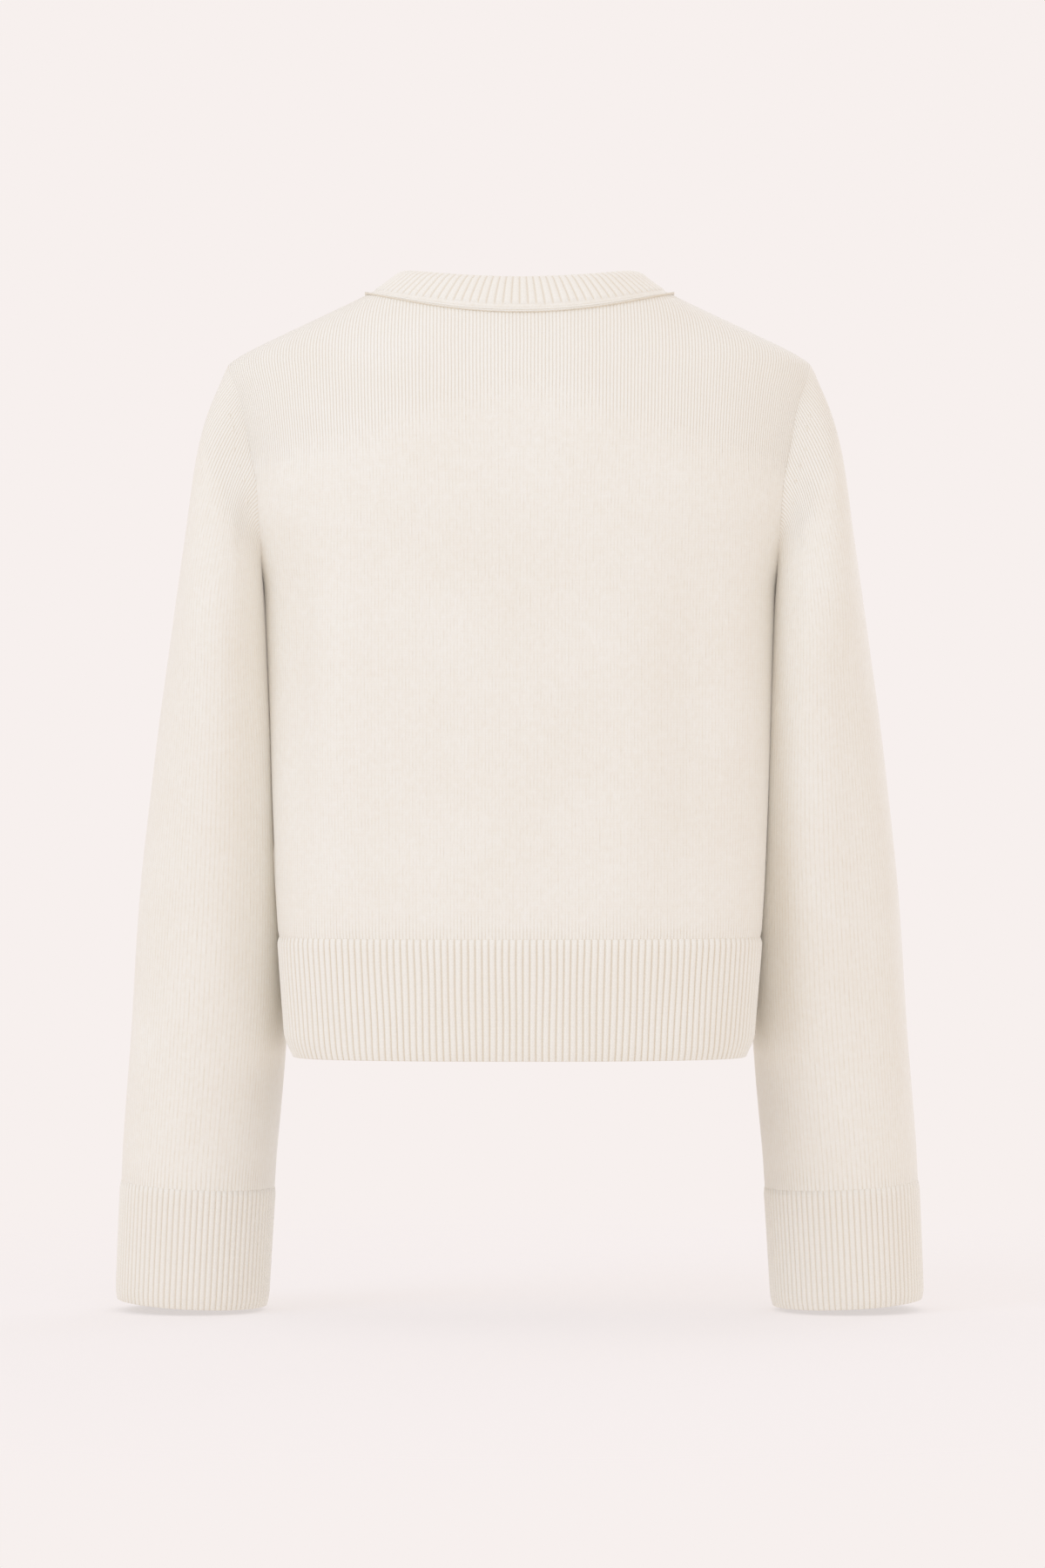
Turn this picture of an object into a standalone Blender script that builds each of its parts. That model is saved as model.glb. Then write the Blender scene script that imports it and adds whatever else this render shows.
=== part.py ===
"""Cropped knitted cardigan, buttoned and filled out as worn, with no wearer inside.

Metres, +Z up. The front of the garment faces -Y and its back +Y, and the wearer's left is +X.
The origin lies between the shoulders, at the height of the neck points, where the wearer holds it up.

The body is one hollow form. A level cut through it is a superellipse: half_width across, and a depth of its
own behind and in front of the side seams. Above the arms those cuts shrink along the shoulder slope, so their
tips draw the shoulder seam. Every jersey panel, rib and band is a wall of cloth that lies on this form.
"""
import bmesh
import bpy
import numpy as np

# ---------------------------------------------------------------- driving dimensions
WALL = 0.0020                # jersey, and the ground of the ribs
RIB_RISE = 0.0010            # how far a rib stands out of its ground
SEAM_GAP = 0.0003            # between two pieces that are sewn or linked together
LAP = RIB_RISE + SEAM_GAP + WALL      # how far the upper front band lies over the lower one

HEM_SEAM = -0.4245           # height of the row where jersey turns into hem rib
HEM_ROLL = -0.4965           # height where the hem begins to roll in
HEM_EDGE = -0.5040
EDGE_ROLL = 0.0012           # how far the last stitches of a rib roll in

NECK_HALF = 0.1015           # half the neck width, at the neck points
NECK_POINT = 0.0030          # height of the neck points
BACK_NECK = -0.0125          # height of the linking seam at the centre of the back
FRONT_NECK = -0.0750         # and at the centre of the front
SHOULDER_POINT = -0.0445     # height where the armhole starts
UNDERARM = -0.1950           # height where the armhole ends, at the side seam

CORD_WIDTH = 0.0020          # linking strip under the neckband
CORD_RISE = 0.0006
COLLAR_HALF = 0.0765         # half width of the neckband's upper edge
COLLAR_BACK = 0.0500         # how far that edge lies behind the shoulder seam
COLLAR_FRONT = -0.0610       # and in front of it
COLLAR_TOP_BACK = 0.0125     # its height behind, at the sides and in front
COLLAR_TOP_SIDE = 0.0195
COLLAR_TOP_FRONT = -0.0545
COLLAR_DIP = 1.15            # the higher, the later its front turns down
NECK_PLAIN = 0.0045          # plain rows at the neckband's foot, before its ribs start
NECK_TALL = 0.1              # taller than the neckband anywhere
NECK_ARRIVE = 0.9            # how straight the neckband ends

BAND_HALF = 0.0150           # half the width of the front bands
BAND_NECK_ROWS = (0.009, 0.018, NECK_TALL)    # rows of the bands beside the neckband, above the neckline
LAP_FROM = -0.0550           # the upper front starts to lift here, and is up where its band is linked on
LAP_TO = -0.0170
BUTTON_RADIUS = 0.0075
BUTTON_THICK = 0.0028
BUTTON_SIDES = 14
BUTTON_HEIGHTS = np.linspace(-0.0655, -0.4655, 6)

HEM_RIB = 0.0045             # distance from rib to rib
CUFF_RIB = 0.0040
NECK_RIB = 0.0057
BAND_RIB = 0.0043

CUFF_SEAM = -0.5955
CUFF_ROLL = -0.6685
CUFF_EDGE = -0.6760
SLEEVE_FREE = -0.2400        # height under which the sleeve hangs as a plain tube
SLEEVE_CLEAR = 0.0026        # between the sleeve and the side that it hangs against
CLEAR_SOFT = 0.0020          # over which the sleeve bends away from that side
CLEAR_BELOW = -0.5200        # the sleeve hangs free again under this height
SLEEVE_ROUND = 2.15          # roundness of the sleeve's level cuts
CAP_SPREAD = 0.18            # how far the sleeve's start points to the back and front
CAP_DROP = 0.50              # and how far it points down, at the shoulder
CAP_HINGE = 1.2              # turn from the shoulder over which the sleeve comes to lead its own way
CAP_SWING = (0.47, 0.25)     # how fully the sleeve swings out of the armhole, and how much more at its sides
CAP_ARRIVE = 1.1             # how straight it comes down into the hanging tube

WOOL = ((0.93, 0.90, 0.85), 0.9)     # colour and roughness of the knitted cloth, and of the buttons
HORN = ((0.90, 0.87, 0.81), 0.35)
CREASE = np.radians(35)              # edges bent further than this are shown sharp


def table(columns, *rows):
    """A short table as one array for each named column."""
    values = np.array(rows, dtype=float)
    return {name: values[:, i] for i, name in enumerate(columns.split())}


# The body's outline from behind, and above the underarm the width that the form has without its armholes.
OUTLINE = table(
    "height half_width",
    (-0.5040, 0.1548),
    (-0.4890, 0.1557),
    (-0.4245, 0.1604),
    (-0.3805, 0.1633),
    (-0.2935, 0.1672),
    (-0.2200, 0.1708),
    (-0.1950, 0.1716),
    (-0.1720, 0.1775),
    (-0.1400, 0.1920),
    (-0.1110, 0.1985),
    (-0.0790, 0.2000),
    (-0.0557, 0.1988),
    (-0.0445, 0.1944),
    (-0.0383, 0.1865),
    (-0.0238, 0.1578),
    (-0.0064, 0.1212),
    (0.0030, 0.1015),
    (0.0060, 0.0950),
)

# How deep the form is behind and in front of the side seams, and how square its level cuts are.
DEPTHS = table(
    "height back front roundness",
    (-0.5040, 0.0770, 0.0930, 2.40),
    (-0.4245, 0.0800, 0.0980, 2.40),
    (-0.3000, 0.0845, 0.1080, 2.40),
    (-0.2300, 0.0870, 0.1120, 2.40),
    (-0.1500, 0.0885, 0.1050, 2.35),
    (-0.1000, 0.0850, 0.0900, 2.25),
    (-0.0600, 0.0775, 0.0740, 2.15),
    (-0.0300, 0.0690, 0.0610, 2.05),
    (-0.0075, 0.0610, 0.0500, 2.00),
    (0.0060, 0.0550, 0.0440, 2.00),
)

# The armhole seam: its distance from the middle at each height, on the back and on the front.
ARMHOLE = table(
    "height back front",
    (-0.1950, 0.1716, 0.1716),
    (-0.1860, 0.1708, 0.1700),
    (-0.1720, 0.1708, 0.1685),
    (-0.1500, 0.1720, 0.1685),
    (-0.1253, 0.1737, 0.1695),
    (-0.1108, 0.1766, 0.1720),
    (-0.0899, 0.1808, 0.1770),
    (-0.0725, 0.1846, 0.1820),
    (-0.0557, 0.1908, 0.1896),
    (-0.0445, 0.1944, 0.1944),
)

# The sleeve below the armhole: its outer and inner edge, the middle of its depth, and half that depth.
SLEEVE = table(
    "height outer inner middle half_depth",
    (-0.6760, 0.2731, 0.1712, -0.0720, 0.0500),
    (-0.5955, 0.2694, 0.1660, -0.0660, 0.0520),
    (-0.5100, 0.2633, 0.1586, -0.0570, 0.0540),
    (-0.4500, 0.2592, 0.1546, -0.0500, 0.0570),
    (-0.3800, 0.2530, 0.1537, -0.0400, 0.0605),
    (-0.3000, 0.2434, 0.1572, -0.0260, 0.0640),
    (-0.2400, 0.2348, 0.1626, -0.0140, 0.0660),
)

# Soft upright folds of the hanging cloth. side is 1 on the back and -1 on the front; rise is how far the fold
# stands out, or in where it is negative.
FOLDS = table(
    "side across top bottom half_width rise",
    (1, 0.1480, -0.1300, -0.4250, 0.0160, -0.0022),
    (1, 0.1150, -0.1500, -0.4250, 0.0220, 0.0022),
    (1, 0.0500, -0.2400, -0.4250, 0.0300, -0.0012),
    (1, -0.0750, -0.2000, -0.4250, 0.0220, 0.0015),
    (1, -0.1120, -0.1700, -0.4250, 0.0200, -0.0020),
    (1, -0.1450, -0.1600, -0.4250, 0.0170, 0.0013),
    (-1, 0.1180, -0.1600, -0.4250, 0.0200, -0.0030),
    (-1, 0.0750, -0.2500, -0.4250, 0.0220, 0.0018),
    (-1, -0.0780, -0.2300, -0.4250, 0.0200, 0.0020),
    (-1, -0.1150, -0.1900, -0.4250, 0.0210, -0.0028),
)

FOLD_HIGH = 0.8              # under 1, the folds are deepest above their middle

# A button's profile, as shares of its radius and thickness: seat, edge, raised rim and dished face.
BUTTON = table(
    "radius height",
    (0.00, 0.00),
    (0.75, 0.00),
    (1.00, 0.25),
    (1.00, 0.75),
    (0.86, 1.00),
    (0.70, 0.72),
    (0.00, 0.66),
)

# Rows and columns of the walls. The rows of a panel end on its side seam and its armhole, and lie close
# together where the shoulder turns over.
SIDE_ROWS = np.linspace(HEM_SEAM, UNDERARM, 6)
ARMHOLE_ROWS = np.array([UNDERARM, -0.1760, -0.1510, -0.1250, -0.0990, -0.0750, -0.0565, -0.0475,
                         SHOULDER_POINT])
LEVEL_BELOW = -0.2600        # below this height the rows of a panel are level
ARMHOLE_DRAW = 4             # the higher, the fewer columns follow the armhole's curve
NECK_COLUMNS = 6
SHOULDER_COLUMNS = 6
BAND_ROWS = np.array([HEM_EDGE, HEM_ROLL, HEM_SEAM, -0.36, -0.29, -0.22, -0.155, -0.110, FRONT_NECK])
CAP_ROWS = np.array([0, 0.035, 0.10, 0.22, 0.40, 0.62, 0.82])    # shares of the way down to SLEEVE_FREE
CAP_ROOM = np.array([0, 0.0006, 0.0012])     # room beside the body at the first cap rows, before SLEEVE_CLEAR
CAP_HOLD = np.array([1.0, 0.5])              # how far the first cap rows still face as the armhole does
SLEEVE_ROWS = 9
SLEEVE_COLUMNS = 4 * (len(ARMHOLE_ROWS) - 1)


# ---------------------------------------------------------------- curves and the form
def smooth(at, knots, values):
    """Cubic through the knots that never overshoots them."""
    at = np.clip(at, knots[0], knots[-1])
    width = np.diff(knots)
    slope = np.diff(values) / width
    together = slope[:-1] * slope[1:]
    total = slope[:-1] + slope[1:]
    middle = np.divide(2 * together, total, out=np.zeros_like(total), where=together > 0)
    lean = np.concatenate([slope[:1], middle, slope[-1:]])
    i = np.clip(np.searchsorted(knots, at, side="right") - 1, 0, len(knots) - 2)
    t = (at - knots[i]) / width[i]
    start = values[i] * (1 + 2 * t) * (1 - t) ** 2 + values[i + 1] * t * t * (3 - 2 * t)
    return start + width[i] * (lean[i] * t * (1 - t) ** 2 - lean[i + 1] * t * t * (1 - t))


def ease(t):
    """0 below 0, 1 above 1, and a soft step between."""
    t = np.clip(t, 0, 1)
    return t * t * (3 - 2 * t)


def half_width(z):
    return smooth(z, OUTLINE["height"], OUTLINE["half_width"])


def roundness(z):
    return smooth(z, DEPTHS["height"], DEPTHS["roundness"])


def depth(z, side):
    back = smooth(z, DEPTHS["height"], DEPTHS["back"])
    front = smooth(z, DEPTHS["height"], DEPTHS["front"])
    return np.where(np.asarray(side) > 0, back, front)


def form_y(x, z, side):
    """Distance of the form's back (side 1) or front (side -1) from the side seams."""
    n = roundness(z)
    room = np.clip(1 - (np.abs(x) / half_width(z)) ** n, 0, 1)
    return side * depth(z, side) * room ** (1 / n)


def form_level(point, side):
    """0 on the form, negative inside it."""
    x, y, z = point
    n = roundness(z)
    return (np.abs(x) / half_width(z)) ** n + (np.abs(y) / depth(z, side)) ** n - 1


def unit(v):
    return v / np.linalg.norm(v, axis=-1, keepdims=True)


def form_normal(points, side):
    """Outward direction of the form, from how fast form_level changes."""
    step = 1e-5
    p = np.moveaxis(points, -1, 0)
    rise = []
    for axis in range(3):
        move = np.zeros_like(p)
        move[axis] = step
        rise.append(form_level(p + move, side) - form_level(p - move, side))
    return unit(np.stack(rise, axis=-1))


def fold_rise(x, z, side):
    """How far the soft folds carry the cloth out from the form."""
    rise = np.zeros_like(x)
    for k in range(len(FOLDS["side"])):
        across = np.exp(-((x - FOLDS["across"][k]) / FOLDS["half_width"][k]) ** 2)
        length = FOLDS["top"][k] - FOLDS["bottom"][k]
        along = np.clip((FOLDS["top"][k] - z) / length, 0, 1)
        swell = np.sin(np.pi * along ** FOLD_HIGH) * (FOLDS["side"][k] == side)
        rise = rise + FOLDS["rise"][k] * across * swell
    return rise


def lap_rise(x, side):
    """The right front swells out near its edge, where its band lies over the left one."""
    lift = LAP * ease((x - LAP_FROM) / (LAP_TO - LAP_FROM)) * (x < 0)
    return np.where(np.asarray(side) < 0, lift, 0.0)


def cloth(x, z, side):
    """Outer points of cloth on the form, and the directions in which they face."""
    y = form_y(x, z, side)
    base = np.stack([x, y, z], axis=-1)
    facing = form_normal(base, side)
    points = base + facing * (fold_rise(x, z, side) + lap_rise(x, side))[..., None]
    points[..., 1] += side * SEAM_GAP / 2
    return points, facing


def quarter(z, side):
    """Level cut of the form from its middle to its side seam: distance across, and girth up to there."""
    angle = np.linspace(0, np.pi / 2, 361)
    n = roundness(z)
    x = half_width(z) * np.sin(angle) ** (2 / n)
    y = depth(z, side) * np.cos(angle) ** (2 / n)
    return x, np.concatenate([[0], np.cumsum(np.hypot(np.diff(x), np.diff(y)))])


def girth_to(x, z, side):
    """Girth from the middle of the back or front to the points (x, z)."""
    return np.array([np.interp(a, *quarter(b, side)) for a, b in zip(x, z)])


def across_at(girth, z, side):
    """x of the points that lie a girth away from the middle, at heights z."""
    return np.array([np.interp(a, *quarter(b, side)[::-1]) for a, b in zip(girth, z)])


def section(z, side, shares):
    """x of the points that split the form's back or front at height z into the given shares of its girth.
    The shares run from -1 at the right side seam to 1 at the left one."""
    x, run = quarter(z, side)
    return np.sign(shares) * np.interp(np.abs(shares) * run[-1], run, x)


# ---------------------------------------------------------------- meshes
def add_object(name, vertices, faces, look):
    """One closed piece in the cardigan's collection, with its own material."""
    colour, shine = look
    mesh = bpy.data.meshes.new(name)
    mesh.from_pydata([tuple(v) for v in vertices], [], faces)
    shape = bmesh.new()
    shape.from_mesh(mesh)
    bmesh.ops.recalc_face_normals(shape, faces=shape.faces)
    shape.to_mesh(mesh)
    shape.free()
    mesh.shade_smooth()
    mesh.set_sharp_from_angle(angle=CREASE)
    material = bpy.data.materials.new(name)
    material.use_nodes = True
    shader = material.node_tree.nodes["Principled BSDF"]
    shader.inputs["Base Color"].default_value = (*colour, 1)
    shader.inputs["Roughness"].default_value = shine
    shader.inputs["Metallic"].default_value = 0
    mesh.materials.append(material)
    piece = bpy.data.objects.new(name, mesh)
    COLLECTION.objects.link(piece)


def leaning(grid, ring):
    """For each patch of a grid, whether the diagonal to its next row and column is the shorter one."""
    ahead = np.roll(grid, -1, axis=1)
    if not ring:
        ahead, grid = ahead[:, :-1], grid[:, :-1]
    rising = np.linalg.norm(ahead[1:] - grid[:-1], axis=-1)
    falling = np.linalg.norm(ahead[:-1] - grid[1:], axis=-1)
    return rising <= falling


def wall_faces(outer_grid, inner_grid, ring):
    """Faces of a wall between an outer and an inner grid of points.

    Both grids have the same rows. The outer one has as many columns as the inner one, or twice as many steps
    across, where ribs are raised in it. ring closes the wall round a tube. The patches are split along their
    shorter diagonal, the same one on both sides of an even wall, so that its two sides never meet.
    """
    rows, outer_columns = outer_grid.shape[:2]
    inner_columns = inner_grid.shape[1]
    first_inner = rows * outer_columns
    outer_steps = outer_columns if ring else outer_columns - 1
    inner_steps = inner_columns if ring else inner_columns - 1
    ribs = outer_steps // inner_steps

    def outer(r, c):
        return r * outer_columns + c % outer_columns

    def inner(r, c):
        return first_inner + r * inner_columns + c % inner_columns

    def patch(at, r, c, rising):
        a, b, d, e = at(r, c), at(r, c + 1), at(r + 1, c + 1), at(r + 1, c)
        return [(a, b, d), (a, d, e)] if rising else [(a, b, e), (b, d, e)]

    lean = leaning(outer_grid, ring)
    inner_lean = lean if ribs == 1 else leaning(inner_grid, ring)
    faces = []
    for r in range(rows - 1):
        for c in range(outer_steps):
            faces.extend(patch(outer, r, c, lean[r, c]))
        for c in range(inner_steps):
            faces.extend(face[::-1] for face in patch(inner, r, c, inner_lean[r, c]))
    for r, turn in ((0, 1), (rows - 1, -1)):
        for c in range(inner_steps):
            rim = [outer(r, ribs * c + k) for k in range(ribs)]
            last = outer(r, ribs * c + ribs)
            edge = [(rim[0], rim[-1], inner(r, c + 1), inner(r, c))] if ribs > 1 else []
            tip = (rim[-1], last, inner(r, c + 1))
            edge.append(tip if ribs > 1 else (*tip, inner(r, c)))
            faces.extend(face[::-turn] for face in edge)
    if not ring:
        for r in range(rows - 1):
            faces.append((outer(r, 0), outer(r + 1, 0), inner(r + 1, 0), inner(r, 0)))
            end_outer, end_inner = outer_columns - 1, inner_columns - 1
            faces.append((outer(r + 1, end_outer), outer(r, end_outer), inner(r, end_inner),
                          inner(r + 1, end_inner)))
    return faces


def add_wall(name, outer, inner, ring=False, mirror=False):
    """A cloth wall from its outer and inner grids (rows, columns, 3)."""
    vertices = np.concatenate([outer.reshape(-1, 3), inner.reshape(-1, 3)])
    if mirror:
        vertices = vertices * (-1, 1, 1)
    faces = wall_faces(outer, inner, ring)
    add_object(name, vertices, faces, WOOL)


def ribbed(points, facing, rows_flat=0):
    """Outer and inner grids of a rib wall from points on its ground, two columns for each rib.

    Every second column stands out by RIB_RISE; the inside has only the columns between the ribs. The first
    rows_flat rows are left plain.
    """
    columns = np.arange(points.shape[1])
    rise = np.where(columns % 2 == 1, RIB_RISE, 0.0) * np.ones((len(points), 1))
    rise[:rows_flat] = 0
    outer = points + facing * rise[..., None]
    inner = (points - facing * WALL)[:, ::2]
    return outer, inner


# ---------------------------------------------------------------- jersey panels
def neck_edge(turn, side):
    """The linking seam at an angle of turn from the middle of the back or of the front: its x and height."""
    x = NECK_HALF * np.sin(turn)
    back = BACK_NECK + (NECK_POINT - BACK_NECK) * np.sin(turn) ** 2
    front = NECK_POINT - (NECK_POINT - FRONT_NECK) * np.cos(turn)
    return x, back if side > 0 else front


def neck_turns(side, start):
    """Turns round the neck at which the columns of half a panel end, even in girth from x = start."""
    fine = np.linspace(np.arcsin(start / NECK_HALF), np.pi / 2, 91)
    girth = girth_to(*neck_edge(fine, side), side)
    return np.interp(np.linspace(girth[0], girth[-1], NECK_COLUMNS + 1), girth, fine)


def half_panel(side, start):
    """x and height of the points of half a panel, on the wearer's left: rows upwards, columns outwards.

    The last column lies on the side seam and the armhole, and the top row on the neckline and the shoulder
    seam. Each column keeps its share of the girth between the panel's middle edge and its last column, and
    only the outer columns follow the curve of the armhole.
    """
    neck_x, neck_z = neck_edge(neck_turns(side, start), side)
    shoulder_z = np.linspace(NECK_POINT, SHOULDER_POINT, SHOULDER_COLUMNS + 1)[1:]
    top_x = np.concatenate([neck_x, half_width(shoulder_z)])
    top_z = np.concatenate([neck_z, shoulder_z])
    edge_z = np.concatenate([SIDE_ROWS, ARMHOLE_ROWS[1:]])
    armhole_x = smooth(ARMHOLE_ROWS, ARMHOLE["height"], ARMHOLE["back" if side > 0 else "front"])
    edge_x = np.concatenate([half_width(SIDE_ROWS), armhole_x[1:]])

    top_girth = girth_to(top_x, top_z, side)
    share = (top_girth - start) / (top_girth[-1] - start)
    edge_girth = girth_to(edge_x, edge_z, side)[:, None]
    climb = np.clip((edge_z - LEVEL_BELOW) / (SHOULDER_POINT - LEVEL_BELOW), 0, 1)[:, None]
    level_girth = quarter(LEVEL_BELOW, side)[1][-1]
    straight = np.where(climb > 0, level_girth + climb * (top_girth[-1] - level_girth), edge_girth)
    girth = start + share * (straight - start) + share ** ARMHOLE_DRAW * (edge_girth - straight)
    z = np.where(climb > 0, LEVEL_BELOW + climb * (top_z - LEVEL_BELOW), edge_z[:, None])
    x = across_at(girth.ravel(), z.ravel(), side).reshape(z.shape)
    x[:, 0], x[:, -1], x[-1] = start, edge_x, top_x
    return x, z


def add_panels():
    """The back and the two fronts. Returns each one's outer points and the ways they face."""
    x, z = half_panel(1, 0.0)
    front_x, front_z = half_panel(-1, BAND_HALF)
    shapes = {
        "back": (np.concatenate([-x[:, :0:-1], x], axis=1), np.concatenate([z[:, :0:-1], z], axis=1), 1),
        "front_left": (front_x, front_z, -1),
        "front_right": (-front_x, front_z, -1),
    }
    panels = {}
    for name, shape in shapes.items():
        points, facing = cloth(*shape)
        add_wall(name, points, points - facing * WALL)
        panels[name] = (points, facing)
    return panels


# ---------------------------------------------------------------- sleeves
def body_clear(y, z):
    """How far out the side of the body reaches at depth y, with room for the sleeve to hang beside it."""
    side = np.where(y > 0, 1, -1)
    n = roundness(z)
    room = np.clip(1 - (np.abs(y) / depth(z, side)) ** n, 0, 1)
    reach = half_width(z) * room ** (1 / n) + RIB_RISE * (z < HEM_SEAM + HEM_RIB)
    return np.where(z > CLEAR_BELOW, reach, 0.0)


def sleeve_ring(z, turn):
    """Level cut of the hanging sleeve: turn 0 is its outer edge and a quarter turn is its back."""
    outer, inner, middle, deep = (smooth(z, SLEEVE["height"], SLEEVE[key])
                                  for key in ("outer", "inner", "middle", "half_depth"))
    across = np.sign(np.cos(turn)) * np.abs(np.cos(turn)) ** (2 / SLEEVE_ROUND)
    along = np.sign(np.sin(turn)) * np.abs(np.sin(turn)) ** (2 / SLEEVE_ROUND)
    x = (outer + inner) / 2 + (outer - inner) / 2 * across
    y = middle + deep * along
    return np.stack([x, y, z + 0 * x], axis=-1)


def hung_clear(points, room):
    """Sleeve points moved out to where they clear the side of the body by the room given."""
    least = body_clear(points[..., 1], points[..., 2]) + room
    points = points.copy()
    points[..., 0] += CLEAR_SOFT * np.logaddexp(0, (least - points[..., 0]) / CLEAR_SOFT)
    return points


def grid_normal(points, ring):
    """Outward direction at each point of a grid, from its neighbours."""
    along = np.gradient(points, axis=0)
    if ring:
        across = np.roll(points, -1, axis=1) - np.roll(points, 1, axis=1)
    else:
        across = np.gradient(points, axis=1)
    return unit(np.cross(along, across))


def carried(start, leave, end, arrive, share):
    """Curve from start to end that leaves and arrives along the given vectors."""
    t = share
    return (start * (1 + 2 * t) * (1 - t) ** 2 + end * t * t * (3 - 2 * t)
            + leave * t * (1 - t) ** 2 - arrive * t * t * (1 - t))


def armhole_ring(panels):
    """Points round the left armhole on the panels' edges, from the shoulder down the back and up the front,
    with the directions in which the cloth faces there and in which it would go on."""
    count = len(ARMHOLE_ROWS)
    back_points, back_facing = (part[:-count - 1:-1, -1] for part in panels["back"])
    front_points, front_facing = (part[-count:, -1] for part in panels["front_left"])
    corners = np.concatenate([back_points, front_points[1:-1]])
    corners[0] = (back_points[0] + front_points[-1]) / 2
    corners[count - 1] = (back_points[-1] + front_points[0]) / 2
    facing = np.concatenate([back_facing, front_facing[1:-1]])
    onward = unit(np.roll(corners, -1, axis=0) - np.roll(corners, 1, axis=0))
    leaving = unit(np.cross(onward, facing))
    points = np.empty((2 * len(corners), 3))
    turned = [np.empty_like(points), np.empty_like(points)]
    points[::2] = corners
    points[1::2] = (corners + np.roll(corners, -1, axis=0)) / 2
    for kept, new in zip((facing, leaving), turned):
        new[::2] = kept
        new[1::2] = unit(kept + np.roll(kept, -1, axis=0))
    return points, turned[0], turned[1]


def add_sleeves(panels):
    """Sleeves that swing out of the armholes, square to their seams, and come down into hanging tubes."""
    start, facing, leaving = armhole_ring(panels)
    turn = np.linspace(0, 2 * np.pi, SLEEVE_COLUMNS, endpoint=False)
    low = (1 - np.cos(turn))[:, None] / 2
    outward = unit(np.stack([1 + 0 * turn, CAP_SPREAD * np.sin(turn), -CAP_DROP * (1 - low[:, 0])], axis=-1))
    hinge = ease(np.minimum(turn, 2 * np.pi - turn) / CAP_HINGE)[:, None]
    leave = unit(leaving * (1 - hinge) + outward * hinge)
    first = start + SEAM_GAP * unit(leaving * (1 - low) + outward * low)
    end = sleeve_ring(SLEEVE_FREE, turn)
    reach = np.linalg.norm(end - first, axis=1)[:, None]
    arrive = unit(sleeve_ring(SLEEVE["height"][-2], turn) - end) * reach * CAP_ARRIVE
    swing = leave * reach * (CAP_SWING[0] + CAP_SWING[1] * np.sin(turn)[:, None] ** 2)
    cap = np.stack([carried(first, swing, end, arrive, t) for t in CAP_ROWS])
    heights = np.linspace(SLEEVE_FREE, CUFF_SEAM, SLEEVE_ROWS + 1)
    points = np.concatenate([cap, np.stack([sleeve_ring(z, turn) for z in heights])])
    room = np.full(len(points), SLEEVE_CLEAR)
    room[:len(CAP_ROOM)] = CAP_ROOM
    points[1:] = hung_clear(points, room[:, None])[1:]

    out = grid_normal(points, ring=True)
    square = unit(out[0] - leave * np.sum(out[0] * leave, axis=1)[:, None])
    upper = 1 - ease(low * 3)
    rim = unit(facing * upper + square * (1 - upper))
    hold = CAP_HOLD[:, None, None]
    out[:len(CAP_HOLD)] = unit(out[:len(CAP_HOLD)] * (1 - hold) + rim * hold)
    for name, mirror in (("sleeve_left", False), ("sleeve_right", True)):
        add_wall(name, points, points - out * WALL, ring=True, mirror=mirror)


def add_cuffs():
    fine = np.linspace(0, 2 * np.pi, 1441)
    girth = np.linalg.norm(np.diff(sleeve_ring(CUFF_SEAM, fine), axis=0), axis=1)
    run = np.concatenate([[0], np.cumsum(girth)])
    ribs = int(round(run[-1] / CUFF_RIB))
    turn = np.interp(np.linspace(0, run[-1], 2 * ribs, endpoint=False), run, fine)
    heights = (CUFF_SEAM - SEAM_GAP, CUFF_ROLL, CUFF_EDGE)
    points = np.stack([sleeve_ring(z, turn) for z in heights])
    out = grid_normal(points, ring=True)
    out[..., 2] = 0
    out = unit(out)
    points[-1] -= out[-1] * EDGE_ROLL
    for name, mirror in (("cuff_left", False), ("cuff_right", True)):
        outer, inner = ribbed(points, out)
        add_wall(name, outer, inner, ring=True, mirror=mirror)


# ---------------------------------------------------------------- hem ribs
def add_hem(name, side, first, last):
    """Rib welt from its seam with the jersey down to its rolled edge. first and last give, for a height, the
    shares of the girth between which it lies."""
    fine = np.linspace(first(HEM_SEAM), last(HEM_SEAM), 401)
    x = section(HEM_SEAM, side, fine)
    y = form_y(x, HEM_SEAM, side)
    girth = np.sum(np.hypot(np.diff(x), np.diff(y)))
    ribs = int(round(girth / HEM_RIB))
    heights = (HEM_SEAM - SEAM_GAP, HEM_ROLL, HEM_EDGE)
    x = np.stack([section(z, side, np.linspace(first(z), last(z), 2 * ribs + 1)) for z in heights])
    z = np.array(heights)[:, None] + 0 * x
    points, facing = cloth(x, z, side)
    facing[..., 2] = 0
    facing[:, np.abs(x[0]) < BAND_HALF + SEAM_GAP, 0] = 0
    facing = unit(facing)
    points[-1] -= facing[-1] * EDGE_ROLL
    outer, inner = ribbed(points, facing)
    add_wall(name, outer, inner)


def band_share(z):
    """Share of the front's girth at height z at which the front bands are linked on."""
    shares = np.linspace(0, 0.5, 501)
    return np.interp(BAND_HALF, section(z, -1, shares), shares)


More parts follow.
